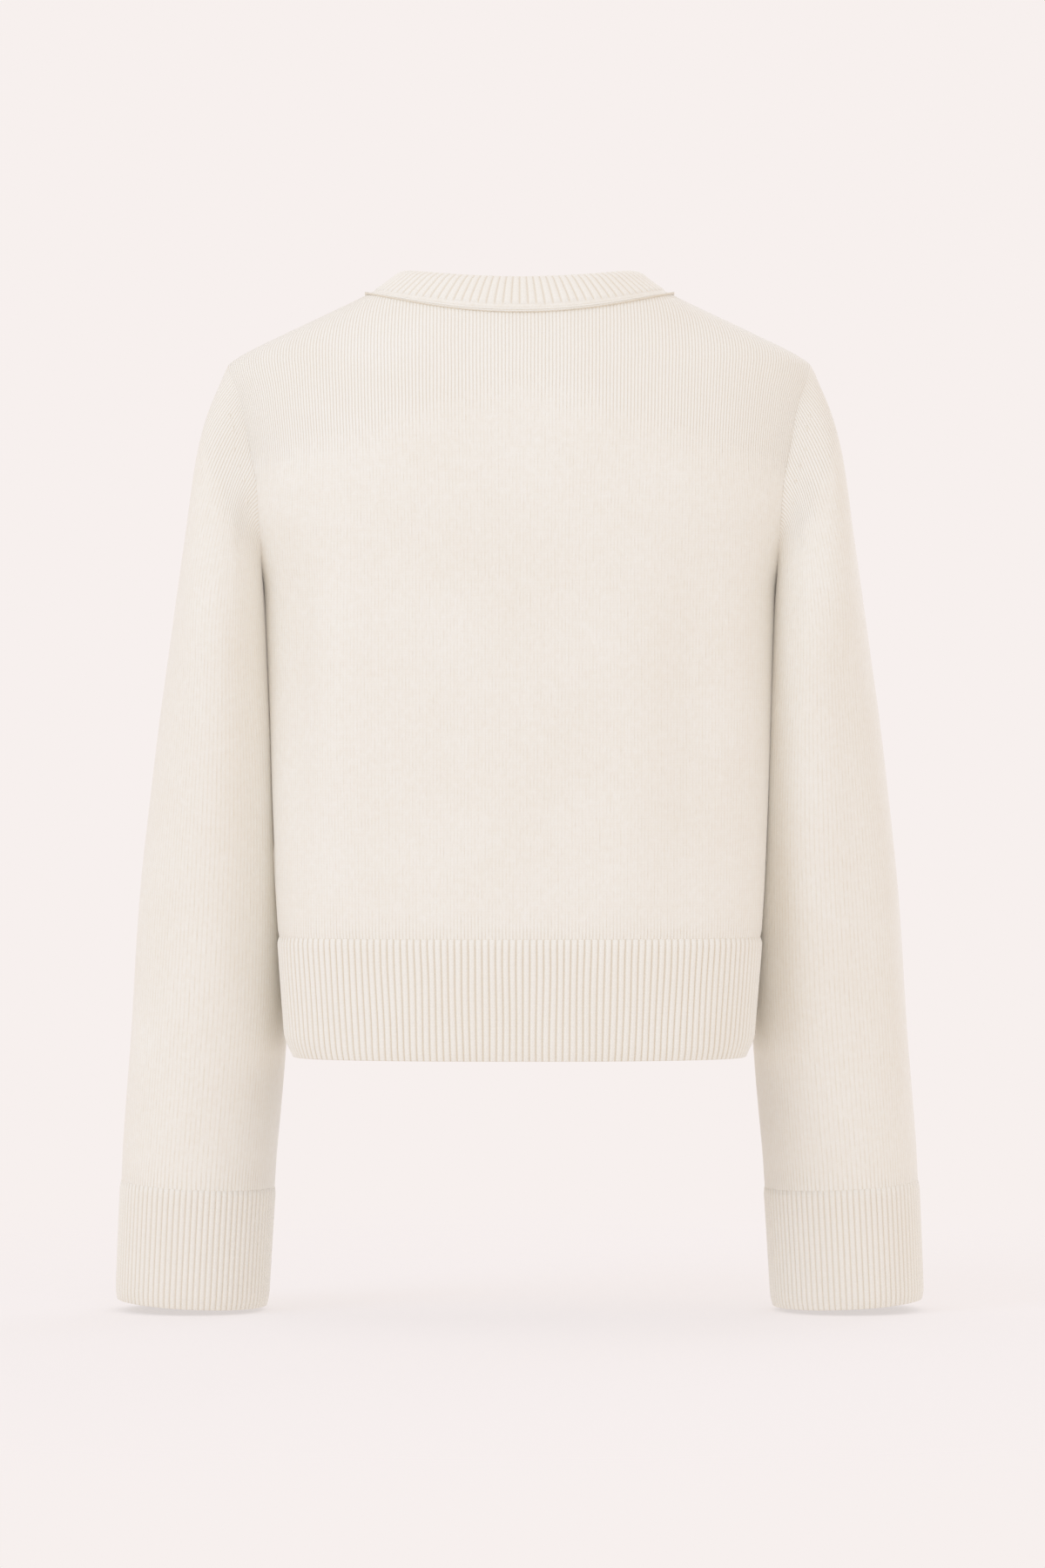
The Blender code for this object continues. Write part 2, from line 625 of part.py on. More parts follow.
# ---------------------------------------------------------------- neck
def neck_line(panels):
    """Corners of the neckline, from the right front edge round the back to the left front edge.

    For each: its point on the panels' edge, the way the cloth faces, the way it goes on towards the neck,
    and the turn round the neck (0 at the back, half a turn at the front).
    """
    count = NECK_COLUMNS + 1
    parts = []
    for k in (0, 1):
        back = panels["back"][k][-1, SHOULDER_COLUMNS:-SHOULDER_COLUMNS]
        left = panels["front_left"][k][-1, :count]
        right = panels["front_right"][k][-1, :count]
        joined = np.concatenate([right, back[1:-1], left[::-1]])
        joined[NECK_COLUMNS] = (right[-1] + back[0]) / 2
        joined[-count] = (left[-1] + back[-1]) / 2
        parts.append(joined)
    points, facing = parts
    facing = unit(facing)
    along = unit(np.gradient(points, axis=0))
    onward = unit(np.cross(along, facing))
    for flat in (facing, onward):
        flat[[0, -1], 0] = 0
    front = np.pi - neck_turns(-1, BAND_HALF)
    back = neck_turns(1, 0.0)
    turn = np.concatenate([-front, -back[-2:0:-1], back[:-1], front[::-1]])
    return points, facing, onward, turn


def collar_edge(turn):
    """Upper edge of the neckband at a turn round the neck. Both its ends meet the front bands."""
    below = np.pi / 2 - np.arcsin(BAND_HALF / NECK_HALF)
    above = np.pi / 2 - np.arcsin(BAND_HALF / COLLAR_HALF)
    past = np.clip(np.abs(turn) - np.pi / 2, 0, None)
    turn = np.sign(turn) * (np.minimum(np.abs(turn), np.pi / 2) + past * above / below)
    x = COLLAR_HALF * np.sin(turn)
    y = np.where(np.cos(turn) > 0, COLLAR_BACK, -COLLAR_FRONT) * np.cos(turn)
    back = COLLAR_TOP_BACK + (COLLAR_TOP_SIDE - COLLAR_TOP_BACK) * np.sin(turn) ** 2
    front = COLLAR_TOP_SIDE - (COLLAR_TOP_SIDE - COLLAR_TOP_FRONT) * np.abs(np.cos(turn)) ** COLLAR_DIP
    return np.stack([x, y, np.where(np.cos(turn) > 0, back, front)], axis=-1)


def neck_curves(line, at):
    """Curves that carry the neckband's ground up from the given places along the neckline (at, 0 to 1):
    where each starts and ends, how it leaves and arrives, and how long it is."""
    points, facing, onward, turn = line
    steps = np.linalg.norm(np.diff(points, axis=0), axis=1)
    place = np.concatenate([[0], np.cumsum(steps)]) / steps.sum()

    def along(values):
        return np.stack([np.interp(at, place, values[:, k]) for k in range(3)], axis=-1)

    start = along(points)
    turns = np.interp(at, place, turn)
    lift = lap_rise(start[:, 0], np.where(np.abs(turns) > np.pi / 2, -1, 1))
    end = collar_edge(turns) + unit(along(facing)) * lift[:, None]
    reach = np.linalg.norm(end - start, axis=1)[:, None]
    return start, unit(along(onward)) * reach, end, (end - start) * NECK_ARRIVE, reach


def neck_grid(line, at, run):
    """Ground points and outward directions of a strip round the neck, at the given distances above the
    neckline; a distance past the neckband's upper edge means that edge."""
    *curve, reach = neck_curves(line, at)
    share = np.stack([np.minimum(distance / reach, 1) for distance in run])
    grid = carried(*curve, share)
    near = 0.02
    up = carried(*curve, np.minimum(share + near, 1)) - carried(*curve, np.maximum(share - near, 0))
    out = np.cross(up, np.gradient(grid, axis=1))
    out[:, [0, -1], 0] = 0
    return grid, unit(out)


def add_neck(line):
    points = line[0]
    run_to = np.concatenate([[0], np.cumsum(np.linalg.norm(np.diff(points, axis=0), axis=1))])
    place = run_to / run_to[-1]
    ribs = int(round(run_to[-1] / NECK_RIB))
    at = np.linspace(0, 1, 2 * ribs + 1)
    base = 2 * SEAM_GAP + CORD_WIDTH
    grid, out = neck_grid(line, at, (base, base + NECK_PLAIN, NECK_TALL))
    outer, inner = ribbed(grid, out, rows_flat=1)
    add_wall("neckband", outer, inner)

    grid, out = neck_grid(line, place, (SEAM_GAP, SEAM_GAP + CORD_WIDTH / 2, SEAM_GAP + CORD_WIDTH))
    proud = np.array([0, CORD_RISE, 0])[:, None, None]
    add_wall("neck_cord", grid + out * proud, grid - out * WALL)


# ---------------------------------------------------------------- front bands and buttons
def band_rows(line):
    """Depths and heights of the front edge, from the hem to the top of the neckband."""
    y = form_y(0 * BAND_ROWS, BAND_ROWS, -1) - SEAM_GAP / 2
    neck, _ = neck_grid(line, np.array([0.999, 1.0]), BAND_NECK_ROWS)
    return np.concatenate([y, neck[:, -1, 1]]), np.concatenate([BAND_ROWS, neck[:, -1, 2]])


def add_bands(line):
    y, z = band_rows(line)
    ribs = int(round(2 * BAND_HALF / BAND_RIB))
    slope_y, slope_z = np.gradient(y), np.gradient(z)
    out = unit(np.stack([0 * y, -slope_z, slope_y], axis=-1))
    x = np.linspace(-BAND_HALF + SEAM_GAP, BAND_HALF - SEAM_GAP, 2 * ribs + 1)
    for name, rise in (("band_left", 0.0), ("band_right", LAP)):
        shape = (len(y), len(x))
        points = np.stack([np.broadcast_to(x, shape), np.broadcast_to(y[:, None], shape),
                           np.broadcast_to(z[:, None], shape)], axis=-1)
        facing = np.broadcast_to(out[:, None, :], (*shape, 3))
        points = points + facing * rise
        outer, inner = ribbed(points, facing)
        add_wall(name, outer, inner)
    return y, z, out


def add_buttons(y, z, out):
    """Round buttons with a raised rim, each flat against the upper band where it stands."""
    radius, height = BUTTON["radius"] * BUTTON_RADIUS, BUTTON["height"] * BUTTON_THICK
    sides = BUTTON_SIDES
    angle = np.linspace(0, 2 * np.pi, sides, endpoint=False)[:, None]
    for number, level in enumerate(BUTTON_HEIGHTS, start=1):
        above = np.searchsorted(z, level)
        facing = unit(out[above - 1] + out[above])
        up = unit(np.cross(facing, (1, 0, 0)))
        circle = np.cos(angle) * np.array([1, 0, 0]) + np.sin(angle) * up
        seat = np.array([0, np.interp(level, z, y), level]) + facing * (LAP + RIB_RISE + SEAM_GAP)
        vertices = [seat, *(seat + facing * h + point * r
                            for r, h in zip(radius[1:-1], height[1:-1]) for point in circle),
                    seat + facing * height[-1]]
        faces = [(0, 1 + (k + 1) % sides, 1 + k) for k in range(sides)]
        top = 1 + (len(radius) - 3) * sides
        for a in range(1, top, sides):
            faces.extend((a + k, a + (k + 1) % sides, a + sides + (k + 1) % sides, a + sides + k)
                         for k in range(sides))
        faces.extend((top + k, top + (k + 1) % sides, top + sides) for k in range(sides))
        add_object(f"button_{number}", vertices, faces, HORN)


# ---------------------------------------------------------------- the cardigan
for old in list(bpy.data.objects):
    bpy.data.objects.remove(old, do_unlink=True)

COLLECTION = bpy.data.collections.new("cardigan")
bpy.context.scene.collection.children.link(COLLECTION)

jersey = add_panels()
add_sleeves(jersey)
add_cuffs()
add_hem("hem_back", 1, lambda z: -1, lambda z: 1)
add_hem("hem_left", -1, band_share, lambda z: 1)
add_hem("hem_right", -1, lambda z: -1, lambda z: -band_share(z))
neck = neck_line(jersey)
add_neck(neck)
add_buttons(*add_bands(neck))
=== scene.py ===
import bpy
import numpy as np
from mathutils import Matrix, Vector


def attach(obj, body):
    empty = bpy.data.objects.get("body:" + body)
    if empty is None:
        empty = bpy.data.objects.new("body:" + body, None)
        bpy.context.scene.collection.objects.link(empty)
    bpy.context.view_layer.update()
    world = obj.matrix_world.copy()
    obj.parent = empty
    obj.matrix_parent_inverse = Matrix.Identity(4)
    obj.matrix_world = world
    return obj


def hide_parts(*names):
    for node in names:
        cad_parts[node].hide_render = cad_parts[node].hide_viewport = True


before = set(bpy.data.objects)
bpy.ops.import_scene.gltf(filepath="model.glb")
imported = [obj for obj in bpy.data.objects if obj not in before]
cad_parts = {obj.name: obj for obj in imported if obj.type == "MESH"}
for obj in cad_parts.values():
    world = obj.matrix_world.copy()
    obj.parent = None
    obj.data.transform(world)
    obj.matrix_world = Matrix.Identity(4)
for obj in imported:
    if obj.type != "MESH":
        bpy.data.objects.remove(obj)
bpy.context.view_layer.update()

# ---------------------------------------------------------------- back and front panels
# Three fully fashioned panels of plain knitting (jersey) in a soft ivory wool and cashmere yarn, lightly
# milled, so that its stitches are crisp near the shoulders and felted over below. They are seamed at the
# sides and along the shoulders, and hang in long soft folds.
# Z is up, the back faces +Y, and the wearer's left is +X. Lengths are in metres.
WALL = 0.0020
TUCK = 0.0006                # how far two pieces reach into each other at a seam, so no light shows
LIP = 0.0009                 # radius to which the edge of a panel closes beside a seam
HEM_SEAM, HEM_ROLL, HEM_EDGE = -0.4245, -0.4965, -0.5040
UNDERARM, SHOULDER_POINT, LEVEL_BELOW = -0.1950, -0.0445, -0.2600
NECK_HALF, NECK_POINT, BACK_NECK, FRONT_NECK = 0.1015, 0.0030, -0.0125, -0.0750
BAND_HALF = 0.0150
RIB_RISE = 0.0010
REST_GAP = 0.0003            # between pieces that only lie on each other
LAP = RIB_RISE + REST_GAP + WALL
LAP_FROM, LAP_TO = -0.0550, -0.0170            # the upper front rises to its lap between these
SEAM_DIP, SEAM_DIP_HALF = 0.0006, 0.0022       # the jersey is drawn in where the hem is knitted on
RIPPLE, RIPPLE_OVER = 0.00017, 0.05            # it sets in over this height under the shoulders
FOLD_HIGH = 0.8              # under 1, the folds are deepest above their middle
ARMHOLE_DRAW, ROW_DIP, WALE_LEAN = 4, 8, 0.1100
COLUMN_STEP, ROW_STEP, ARMHOLE_STEP, NECK_POINTS = 0.0024, 0.0040, 0.0032, 241
JERSEY_WALE = 0.00227        # from one column of stitches to the next
JERSEY_COURSE = 0.00165      # from one row to the next
FELTED = 0.22                # how clear the stitches are where the cloth is most felted, from 0 to 1
CLEAR_FROM, CLEAR_OVER, CLEAR_SLANT = -0.085, 0.070, 0.30       # they clear up towards the shoulders
ABOVE_HEM, ABOVE_HEM_FROM, ABOVE_HEM_OVER = 0.20, -0.405, 0.020  # and a little beside the hem

BODY = {                     # height: half width, back depth, front depth, roundness of the level cut
    "height": (-0.5040, -0.4890, -0.4245, -0.3805, -0.2935, -0.2200, -0.1950, -0.1720, -0.1400, -0.1110,
               -0.0790, -0.0557, -0.0445, -0.0383, -0.0238, -0.0064, 0.0030, 0.0060),
    "half_width": (0.1548, 0.1557, 0.1604, 0.1633, 0.1672, 0.1708, 0.1716, 0.1775, 0.1920, 0.1985,
                   0.2000, 0.1988, 0.1944, 0.1865, 0.1578, 0.1212, 0.1015, 0.0950),
    "level": (-0.5040, -0.4245, -0.3000, -0.2300, -0.1500, -0.1000, -0.0600, -0.0300, -0.0075, 0.0060),
    "back": (0.0770, 0.0800, 0.0845, 0.0870, 0.0885, 0.0850, 0.0775, 0.0690, 0.0610, 0.0550),
    "front": (0.0930, 0.0980, 0.1080, 0.1120, 0.1050, 0.0900, 0.0740, 0.0610, 0.0500, 0.0440),
    "roundness": (2.40, 2.40, 2.40, 2.40, 2.35, 2.25, 2.15, 2.05, 2.00, 2.00),
}
ARMHOLE = {                  # height of the armhole seam, and its distance from the middle on each side
    "height": (-0.1950, -0.1860, -0.1720, -0.1500, -0.1253, -0.1108, -0.0899, -0.0725, -0.0557, -0.0445),
    "back": (0.1716, 0.1708, 0.1708, 0.1720, 0.1737, 0.1766, 0.1808, 0.1846, 0.1908, 0.1944),
    "front": (0.1716, 0.1700, 0.1685, 0.1685, 0.1695, 0.1720, 0.1770, 0.1820, 0.1896, 0.1944),
}
FOLDS = (                    # side (1 back, -1 front), across, top, bottom, half width, rise
    (1, 0.1480, -0.1300, -0.4250, 0.0150, -0.0036),
    (1, 0.1170, -0.1400, -0.4300, 0.0190, 0.0044),
    (1, 0.0500, -0.2400, -0.4250, 0.0300, -0.0015),
    (1, 0.0120, -0.1500, -0.3600, 0.0260, 0.0010),
    (1, -0.0350, -0.2600, -0.4300, 0.0220, -0.0010),
    (1, -0.0750, -0.2000, -0.4250, 0.0220, 0.0019),
    (1, -0.1120, -0.1700, -0.4250, 0.0190, -0.0027),
    (1, -0.1450, -0.1600, -0.4250, 0.0160, 0.0021),
    (-1, 0.1450, -0.1500, -0.4200, 0.0150, 0.0020),
    (-1, 0.1180, -0.1600, -0.4250, 0.0190, -0.0036),
    (-1, 0.0750, -0.2500, -0.4250, 0.0210, 0.0021),
    (-1, 0.0400, -0.1200, -0.3000, 0.0200, -0.0010),
    (-1, -0.0500, -0.1300, -0.3200, 0.0220, -0.0011),
    (-1, -0.0780, -0.2300, -0.4250, 0.0200, 0.0024),
    (-1, -0.1150, -0.1900, -0.4250, 0.0200, -0.0034),
    (-1, -0.1440, -0.1700, -0.4250, 0.0150, 0.0018),
)


def smooth(at, knots, values):
    """Monotone cubic through the knots: each piece is a Hermite cubic whose end slopes are the harmonic means
    of the chords on either side, so it never overshoots."""
    knots, values = np.asarray(knots), np.asarray(values)
    at = np.clip(at, knots[0], knots[-1])
    width = np.diff(knots)
    slope = np.diff(values) / width
    product, total = slope[:-1] * slope[1:], slope[:-1] + slope[1:]
    middle = np.divide(2 * product, total, out=np.zeros_like(total), where=product > 0)
    lean = np.concatenate([slope[:1], middle, slope[-1:]])
    i = np.clip(np.searchsorted(knots, at, side="right") - 1, 0, len(knots) - 2)
    t = (at - knots[i]) / width[i]
    level = values[i] * (1 + 2 * t) * (1 - t) ** 2 + values[i + 1] * t * t * (3 - 2 * t)
    return level + width[i] * (lean[i] * t * (1 - t) ** 2 - lean[i + 1] * t * t * (1 - t))


def ease(t):
    """3t^2 - 2t^3 between 0 and 1: a soft step."""
    t = np.clip(t, 0, 1)
    return t * t * (3 - 2 * t)


def unit(v):
    return v / np.linalg.norm(v, axis=-1, keepdims=True)


def half_width(z):
    return smooth(z, BODY["height"], BODY["half_width"])


def depth(z, side):
    back, front = (smooth(z, BODY["level"], BODY[key]) for key in ("back", "front"))
    return np.where(np.asarray(side) > 0, back, front)


def roundness(z):
    return smooth(z, BODY["level"], BODY["roundness"])


def on_form(angle, z, side):
    """Level cut of the body as a superellipse: x is half_width times sin(angle) to the power 2/n, and y is
    the depth times cos(angle) to the power 2/n. angle runs from 0 at the middle to a quarter turn at the
    seam."""
    power = 2 / roundness(z)
    turn = np.clip(np.abs(angle), 0, np.pi / 2)
    x = np.sign(angle) * half_width(z) * np.sin(turn) ** power
    y = side * depth(z, side) * np.clip(np.cos(turn), 0, 1) ** power
    return x, y


def angle_of(x, z):
    return np.arcsin(np.clip(x / half_width(z), 0, 1) ** (roundness(z) / 2))


def girth_to(angle, z, side):
    """Girth of the level cut from the middle out to angle, summed over 240 chords."""
    x, y = on_form(np.linspace(0, 1, 241).reshape(-1, *([1] * np.ndim(angle))) * angle, z, side)
    return np.hypot(np.diff(x, axis=0), np.diff(y, axis=0)).sum(axis=0)


def even_cuts(side, levels, shares):
    """For each level, the angles at even shares of the girth, and the whole girth from middle to seam."""
    angle = np.linspace(0, np.pi / 2, 721)
    x, y = on_form(angle[:, None], levels, side)
    run = np.cumsum(np.hypot(np.diff(x, axis=0), np.diff(y, axis=0)), axis=0)
    run = np.concatenate([0 * run[:1], run])
    return np.stack([np.interp(shares * r[-1], r, angle) for r in run.T]), run[-1]


LEVELS = np.linspace(HEM_EDGE, BODY["height"][-1], 256)
SHARES = np.linspace(0, 1, 401)
EVEN = {side: even_cuts(side, LEVELS, SHARES) for side in (1, -1)}


def angle_at(girth, z, side):
    """Angle at a girth from the middle, read from EVEN between its four nearest entries."""
    angles, whole = EVEN[side]
    row = np.interp(z, LEVELS, np.arange(len(LEVELS)))
    column = np.clip(girth / np.interp(z, LEVELS, whole), 0, 1) * (len(SHARES) - 1)
    i, j = (np.minimum(v.astype(int), n - 2) for v, n in ((row, len(LEVELS)), (column, len(SHARES))))
    a, b = row - i, column - j
    return ((angles[i, j] * (1 - b) + angles[i, j + 1] * b) * (1 - a)
            + (angles[i + 1, j] * (1 - b) + angles[i + 1, j + 1] * b) * a)


def facing_of(points, side):
    """Outward direction of the form: the gradient of |x/width|^n + |y/depth|^n, by central differences."""
    p = np.moveaxis(points, -1, 0)
    rise = []
    for axis in range(3):
        both = []
        for step in (1e-5, -1e-5):
            x, y, z = p + step * np.eye(3)[axis].reshape(3, *([1] * (p.ndim - 1)))
            n = roundness(z)
            both.append((np.abs(x) / half_width(z)) ** n + (np.abs(y) / depth(z, side)) ** n)
        rise.append(both[0] - both[1])
    return unit(np.stack(rise, axis=-1))


def ripple(x, z, side):
    """Unevenness of hanging knitwear, up to 0.5 mm: three slow sine waves that cross at different slants."""
    wave = np.sin(61 * x + 17 * z + side) + np.sin(37 * x - 29 * z + 2) + np.sin(23 * x + 43 * z - 1)
    return RIPPLE * wave


def lap_lift(x):
    """How far the front that laps over stands out: a soft rise from LAP_FROM to LAP_TO."""
    return LAP * ease((x - LAP_FROM) / (LAP_TO - LAP_FROM)) * (x < 0)


def cloth(angle, z, side):
    """Outer points of cloth on the form, moved out along the form's own direction by the folds, each a bell
    across and a half sine along, by the ripple, and by the lap of the upper front."""
    x, y = on_form(angle, z, side)
    points = np.stack([x, y, z + 0 * x], axis=-1)
    facing = facing_of(points, side)
    rise = ripple(x, z, side) * ease((SHOULDER_POINT - z) / RIPPLE_OVER)
    for fold_side, across, top, bottom, width, height in FOLDS:
        if fold_side == side:
            along = np.clip((top - z) / (top - bottom), 0, 1) ** FOLD_HIGH
            rise = rise + height * np.exp(-((x - across) / width) ** 2) * np.sin(np.pi * along)
    if side < 0:
        rise = rise + lap_lift(x)
    rise = rise - SEAM_DIP * np.exp(-((z - HEM_SEAM) / SEAM_DIP_HALF) ** 2)
    points = points + facing * rise[..., None]
    points[..., 1] -= side * TUCK / 2
    return points, facing


def ruled(start, end, step, lips=(LIP, LIP)):
    """Places from start to end about a step apart, and closer beside each end that has a lip."""
    span = end - start
    near = np.array([0, 0.06, 0.25, 0.6, 1.0])
    low = start + np.sign(span) * near * lips[0]
    high = end - np.sign(span) * near[::-1] * lips[1]
    count = max(2, int(round(abs(high[0] - low[-1]) / step)))
    parts = [low[:-1]] if lips[0] else []
    parts.append(np.linspace(low[-1], high[0], count + 1))
    if lips[1]:
        parts.append(high[1:])
    return np.concatenate(parts)


def runs(points):
    """Length from the first point to every other, along a line or along each column of a grid."""
    steps = np.linalg.norm(np.diff(points, axis=0), axis=-1)
    return np.concatenate([np.zeros((1, *steps.shape[1:])), np.cumsum(steps, axis=0)])


def new_piece(name, vertices, faces):
    """Smooth mesh object of that name in the scene."""
    mesh = bpy.data.meshes.new(name)
    mesh.from_pydata(vertices.tolist(), [], faces)
    mesh.shade_smooth()
    piece = bpy.data.objects.new(name, mesh)
    bpy.context.scene.collection.objects.link(piece)
    return piece


def shell(name, outer, inner, uv, crisp, ring=False, lips=(LIP, LIP, LIP, LIP)):
    """Closed wall of cloth between an outer and an inner grid of points (rows, columns, 3).

    Beside each free edge both faces close on the middle of the wall along a quarter circle: at a distance d
    from an edge with lip radius r the half thickness is multiplied by sqrt(1 - (1 - d/r)^2). lips are for the
    first row, the last row, the first column and the last column. ring closes the columns into a tube, and
    then uv has one column more than the grids. crisp, from 0 to 1, says how clear the stitches are.
    """
    rows, columns = outer.shape[:2]
    distances = [runs(outer), runs(outer[::-1])[::-1]]
    if not ring:
        aside = outer.swapaxes(0, 1)
        distances += [runs(aside).T, runs(aside[::-1])[::-1].T]
    near = np.min([d / lip for d, lip in zip(distances, lips)], axis=0)
    share = np.sqrt(np.clip(1 - (1 - np.clip(near, 0, 1)) ** 2, 0, 1))[..., None]
    middle, half = (outer + inner) / 2, (outer - inner) / 2
    front = (middle + half * share).reshape(-1, 3)
    behind = (middle - half * share).reshape(-1, 3)
    edge = np.zeros((rows, columns), bool)
    edge[[0, -1]] = True
    if not ring:
        edge[:, [0, -1]] = True
    first = np.arange(rows * columns).reshape(rows, columns)
    second = first.copy()
    second[~edge] = rows * columns + np.arange((~edge).sum())
    vertices = np.concatenate([front, behind[~edge.ravel()]])

    r, c = np.meshgrid(np.arange(rows - 1), np.arange(columns if ring else columns - 1), indexing="ij")
    r, c = r.ravel(), c.ravel()
    after = (c + 1) % columns
    corners = [(r, c), (r, after), (r + 1, after), (r + 1, c)]
    places = [(r, c), (r, c + 1), (r + 1, c + 1), (r + 1, c)]
    across, along = outer[:, 1:] - outer[:, :-1], outer[1:] - outer[:-1]
    out = np.sum(np.cross(across[:-1], along[:, :-1]) * half[:-1, :-1])
    sides = []
    for index, outwards in ((first, out > 0), (second, out <= 0)):
        order = (0, 1, 2, 3) if outwards else (3, 2, 1, 0)
        sides.append((np.stack([index[corners[k]] for k in order], axis=1),
                      np.stack([uv[places[k]] for k in order], axis=1)))
    piece = new_piece(name, vertices, np.concatenate([s[0] for s in sides]).tolist())
    layer = piece.data.uv_layers.new(name="knit")
    layer.data.foreach_set("uv", np.concatenate([s[1] for s in sides]).astype(np.float32).ravel())
    clear = np.broadcast_to(crisp, (rows, columns))
    clear = np.concatenate([clear.ravel(), clear[~edge]]).astype(np.float32)
    piece.data.attributes.new("crisp", "FLOAT", "POINT").data.foreach_set("value", clear)
    return piece


def linear(code):
    """An sRGB hex colour as the linear colour that the shader takes."""
    v = np.array([int(code[k:k + 2], 16) for k in (1, 3, 5)]) / 255
    return (*np.where(v <= 0.04045, v / 12.92, ((v + 0.055) / 1.055) ** 2.4), 1.0)


def add(tree, kind, inputs=(), **settings):
    """Adds one node with its settings. inputs gives for each socket a value, or the socket that feeds it.
    Returns the node's first output, or the node where it has none."""
    node = tree.nodes.new(kind)
    for key, value in settings.items():
        setattr(node, key, value)
    for socket, value in dict(inputs).items():
        if isinstance(value, bpy.types.NodeSocket):
            tree.links.new(value, node.inputs[socket])
        else:
            node.inputs[socket].default_value = value
    return node.outputs[0] if len(node.outputs) else node


GAP_PAINTED_SHADE = 0.06            # on the whole, the shade painted into the gaps between the columns deepens the tone by this times groove


def knit(name, wale, course, relief, groove, narrow, stray=0.0, pale="#f6f4ed", deep="#d0b88e"):
    """Milled wool and cashmere knit. Its nap stands up and whitens the light at grazing angles (sheen).

    The stitches are read from the piece's own UV, in metres: U/wale counts their columns and V/course their
    rows. With t = 0 on a column's edge and 1 in its middle, a column is sin(pi t / 2) high, and the two legs
    of its stitches add sin(pi t), broken up by loops that slant as V/course - 0.6 t. A height of 1 stands out
    by relief, in metres. Shade is painted into the gap between columns: it deepens the tone towards deep by
    groove times (1 - sin(pi t / 2)) to the power narrow, less about its mean, and the loops are painted
    lighter as their highlight. The piece's attribute crisp says where the nap leaves the stitches clear, and
    stray how unevenly their columns run.
    """
    material = bpy.data.materials.new(name)
    material.use_nodes = True
    tree = material.node_tree
    tree.nodes.clear()
    here = tree.nodes.new("ShaderNodeTexCoord").outputs["Object"]
    place = add(tree, "ShaderNodeUVMap", uv_map="knit")
    split = tree.nodes.new("ShaderNodeSeparateXYZ")
    tree.links.new(place, split.inputs[0])

    # Columns stray sideways, by up to about half of stray times their width, over some centimetres.
    drift = add(tree, "ShaderNodeTexNoise", {"Vector": here, "Scale": 45.0, "Detail": 1.0})
    column = add(tree, "ShaderNodeMath", {0: split.outputs[0], 1: wale}, operation="DIVIDE")
    column = add(tree, "ShaderNodeMath", {0: drift, 1: stray, 2: column}, operation="MULTIPLY_ADD")
    row = add(tree, "ShaderNodeMath", {0: split.outputs[1], 1: course}, operation="DIVIDE")
    half = add(tree, "ShaderNodeMath", {0: column, 1: 0.5}, operation="PINGPONG")
    t = add(tree, "ShaderNodeMath", {0: half, 1: 2.0}, operation="MULTIPLY")
    arc = add(tree, "ShaderNodeMath", {0: t, 1: np.pi}, operation="MULTIPLY")
    half_arc = add(tree, "ShaderNodeMath", {0: t, 1: np.pi / 2}, operation="MULTIPLY")
    legs = add(tree, "ShaderNodeMath", {0: arc}, operation="SINE")
    back = add(tree, "ShaderNodeMath", {0: half_arc}, operation="SINE")
    slant = add(tree, "ShaderNodeMath", {0: t, 1: -0.6, 2: row}, operation="MULTIPLY_ADD")
    loop = add(tree, "ShaderNodeMath", {0: slant, 1: 0.5}, operation="PINGPONG")
    loop = add(tree, "ShaderNodeMath", {0: legs, 1: loop}, operation="MULTIPLY")
    rise = add(tree, "ShaderNodeMath", {0: legs, 1: 0.22, 2: back}, operation="MULTIPLY_ADD")
    rise = add(tree, "ShaderNodeMath", {0: loop, 1: 1.0, 2: rise}, operation="MULTIPLY_ADD")
    low = add(tree, "ShaderNodeMath", {0: 1.0, 1: back}, operation="SUBTRACT")
    gap = add(tree, "ShaderNodeMath", {0: low, 1: narrow}, operation="POWER")

    # The nap hides the stitches in streaks along the columns, 3 mm wide and 9 mm long, where crisp is low.
    long_way = add(tree, "ShaderNodeVectorMath", {0: place, 1: (330.0, 110.0, 0.0)}, operation="MULTIPLY")
    streak = add(tree, "ShaderNodeTexNoise",
                 {"Vector": long_way, "Scale": 1.0, "Detail": 2.0, "Roughness": 0.6})
    crisp = add(tree, "ShaderNodeAttribute", attribute_name="crisp").node.outputs["Fac"]
    shown = add(tree, "ShaderNodeMath", {0: crisp, 1: 2.5, 2: -1.42}, operation="MULTIPLY_ADD")
    shown = add(tree, "ShaderNodeMath", {0: streak, 1: 2.0, 2: shown}, operation="MULTIPLY_ADD")
    shown = add(tree, "ShaderNodeMapRange", {"Value": shown, "From Min": -0.1, "From Max": 0.9})

    # Height: the stitches, felted tufts about 4 mm across that fade where the stitches are clear, and fibres
    # about a millimetre long.
    felt = add(tree, "ShaderNodeTexNoise", {"Vector": here, "Scale": 240.0, "Detail": 2.0, "Roughness": 0.5})
    tufts = add(tree, "ShaderNodeMath", {0: shown, 1: -0.75, 2: 1.0}, operation="MULTIPLY_ADD")
    felt = add(tree, "ShaderNodeMath", {0: felt, 1: 0.5}, operation="SUBTRACT")
    felt = add(tree, "ShaderNodeMath", {0: felt, 1: tufts, 2: 0.5}, operation="MULTIPLY_ADD")
    fibre = add(tree, "ShaderNodeTexNoise", {"Vector": here, "Scale": 900.0, "Detail": 3.0, "Roughness": 0.6})
    total = add(tree, "ShaderNodeMath", {0: rise, 1: shown}, operation="MULTIPLY")
    total = add(tree, "ShaderNodeMath", {0: felt, 1: 0.7, 2: total}, operation="MULTIPLY_ADD")
    total = add(tree, "ShaderNodeMath", {0: fibre, 1: 0.35, 2: total}, operation="MULTIPLY_ADD")
    bump = add(tree, "ShaderNodeBump", {"Height": total, "Distance": relief, "Strength": 0.8})
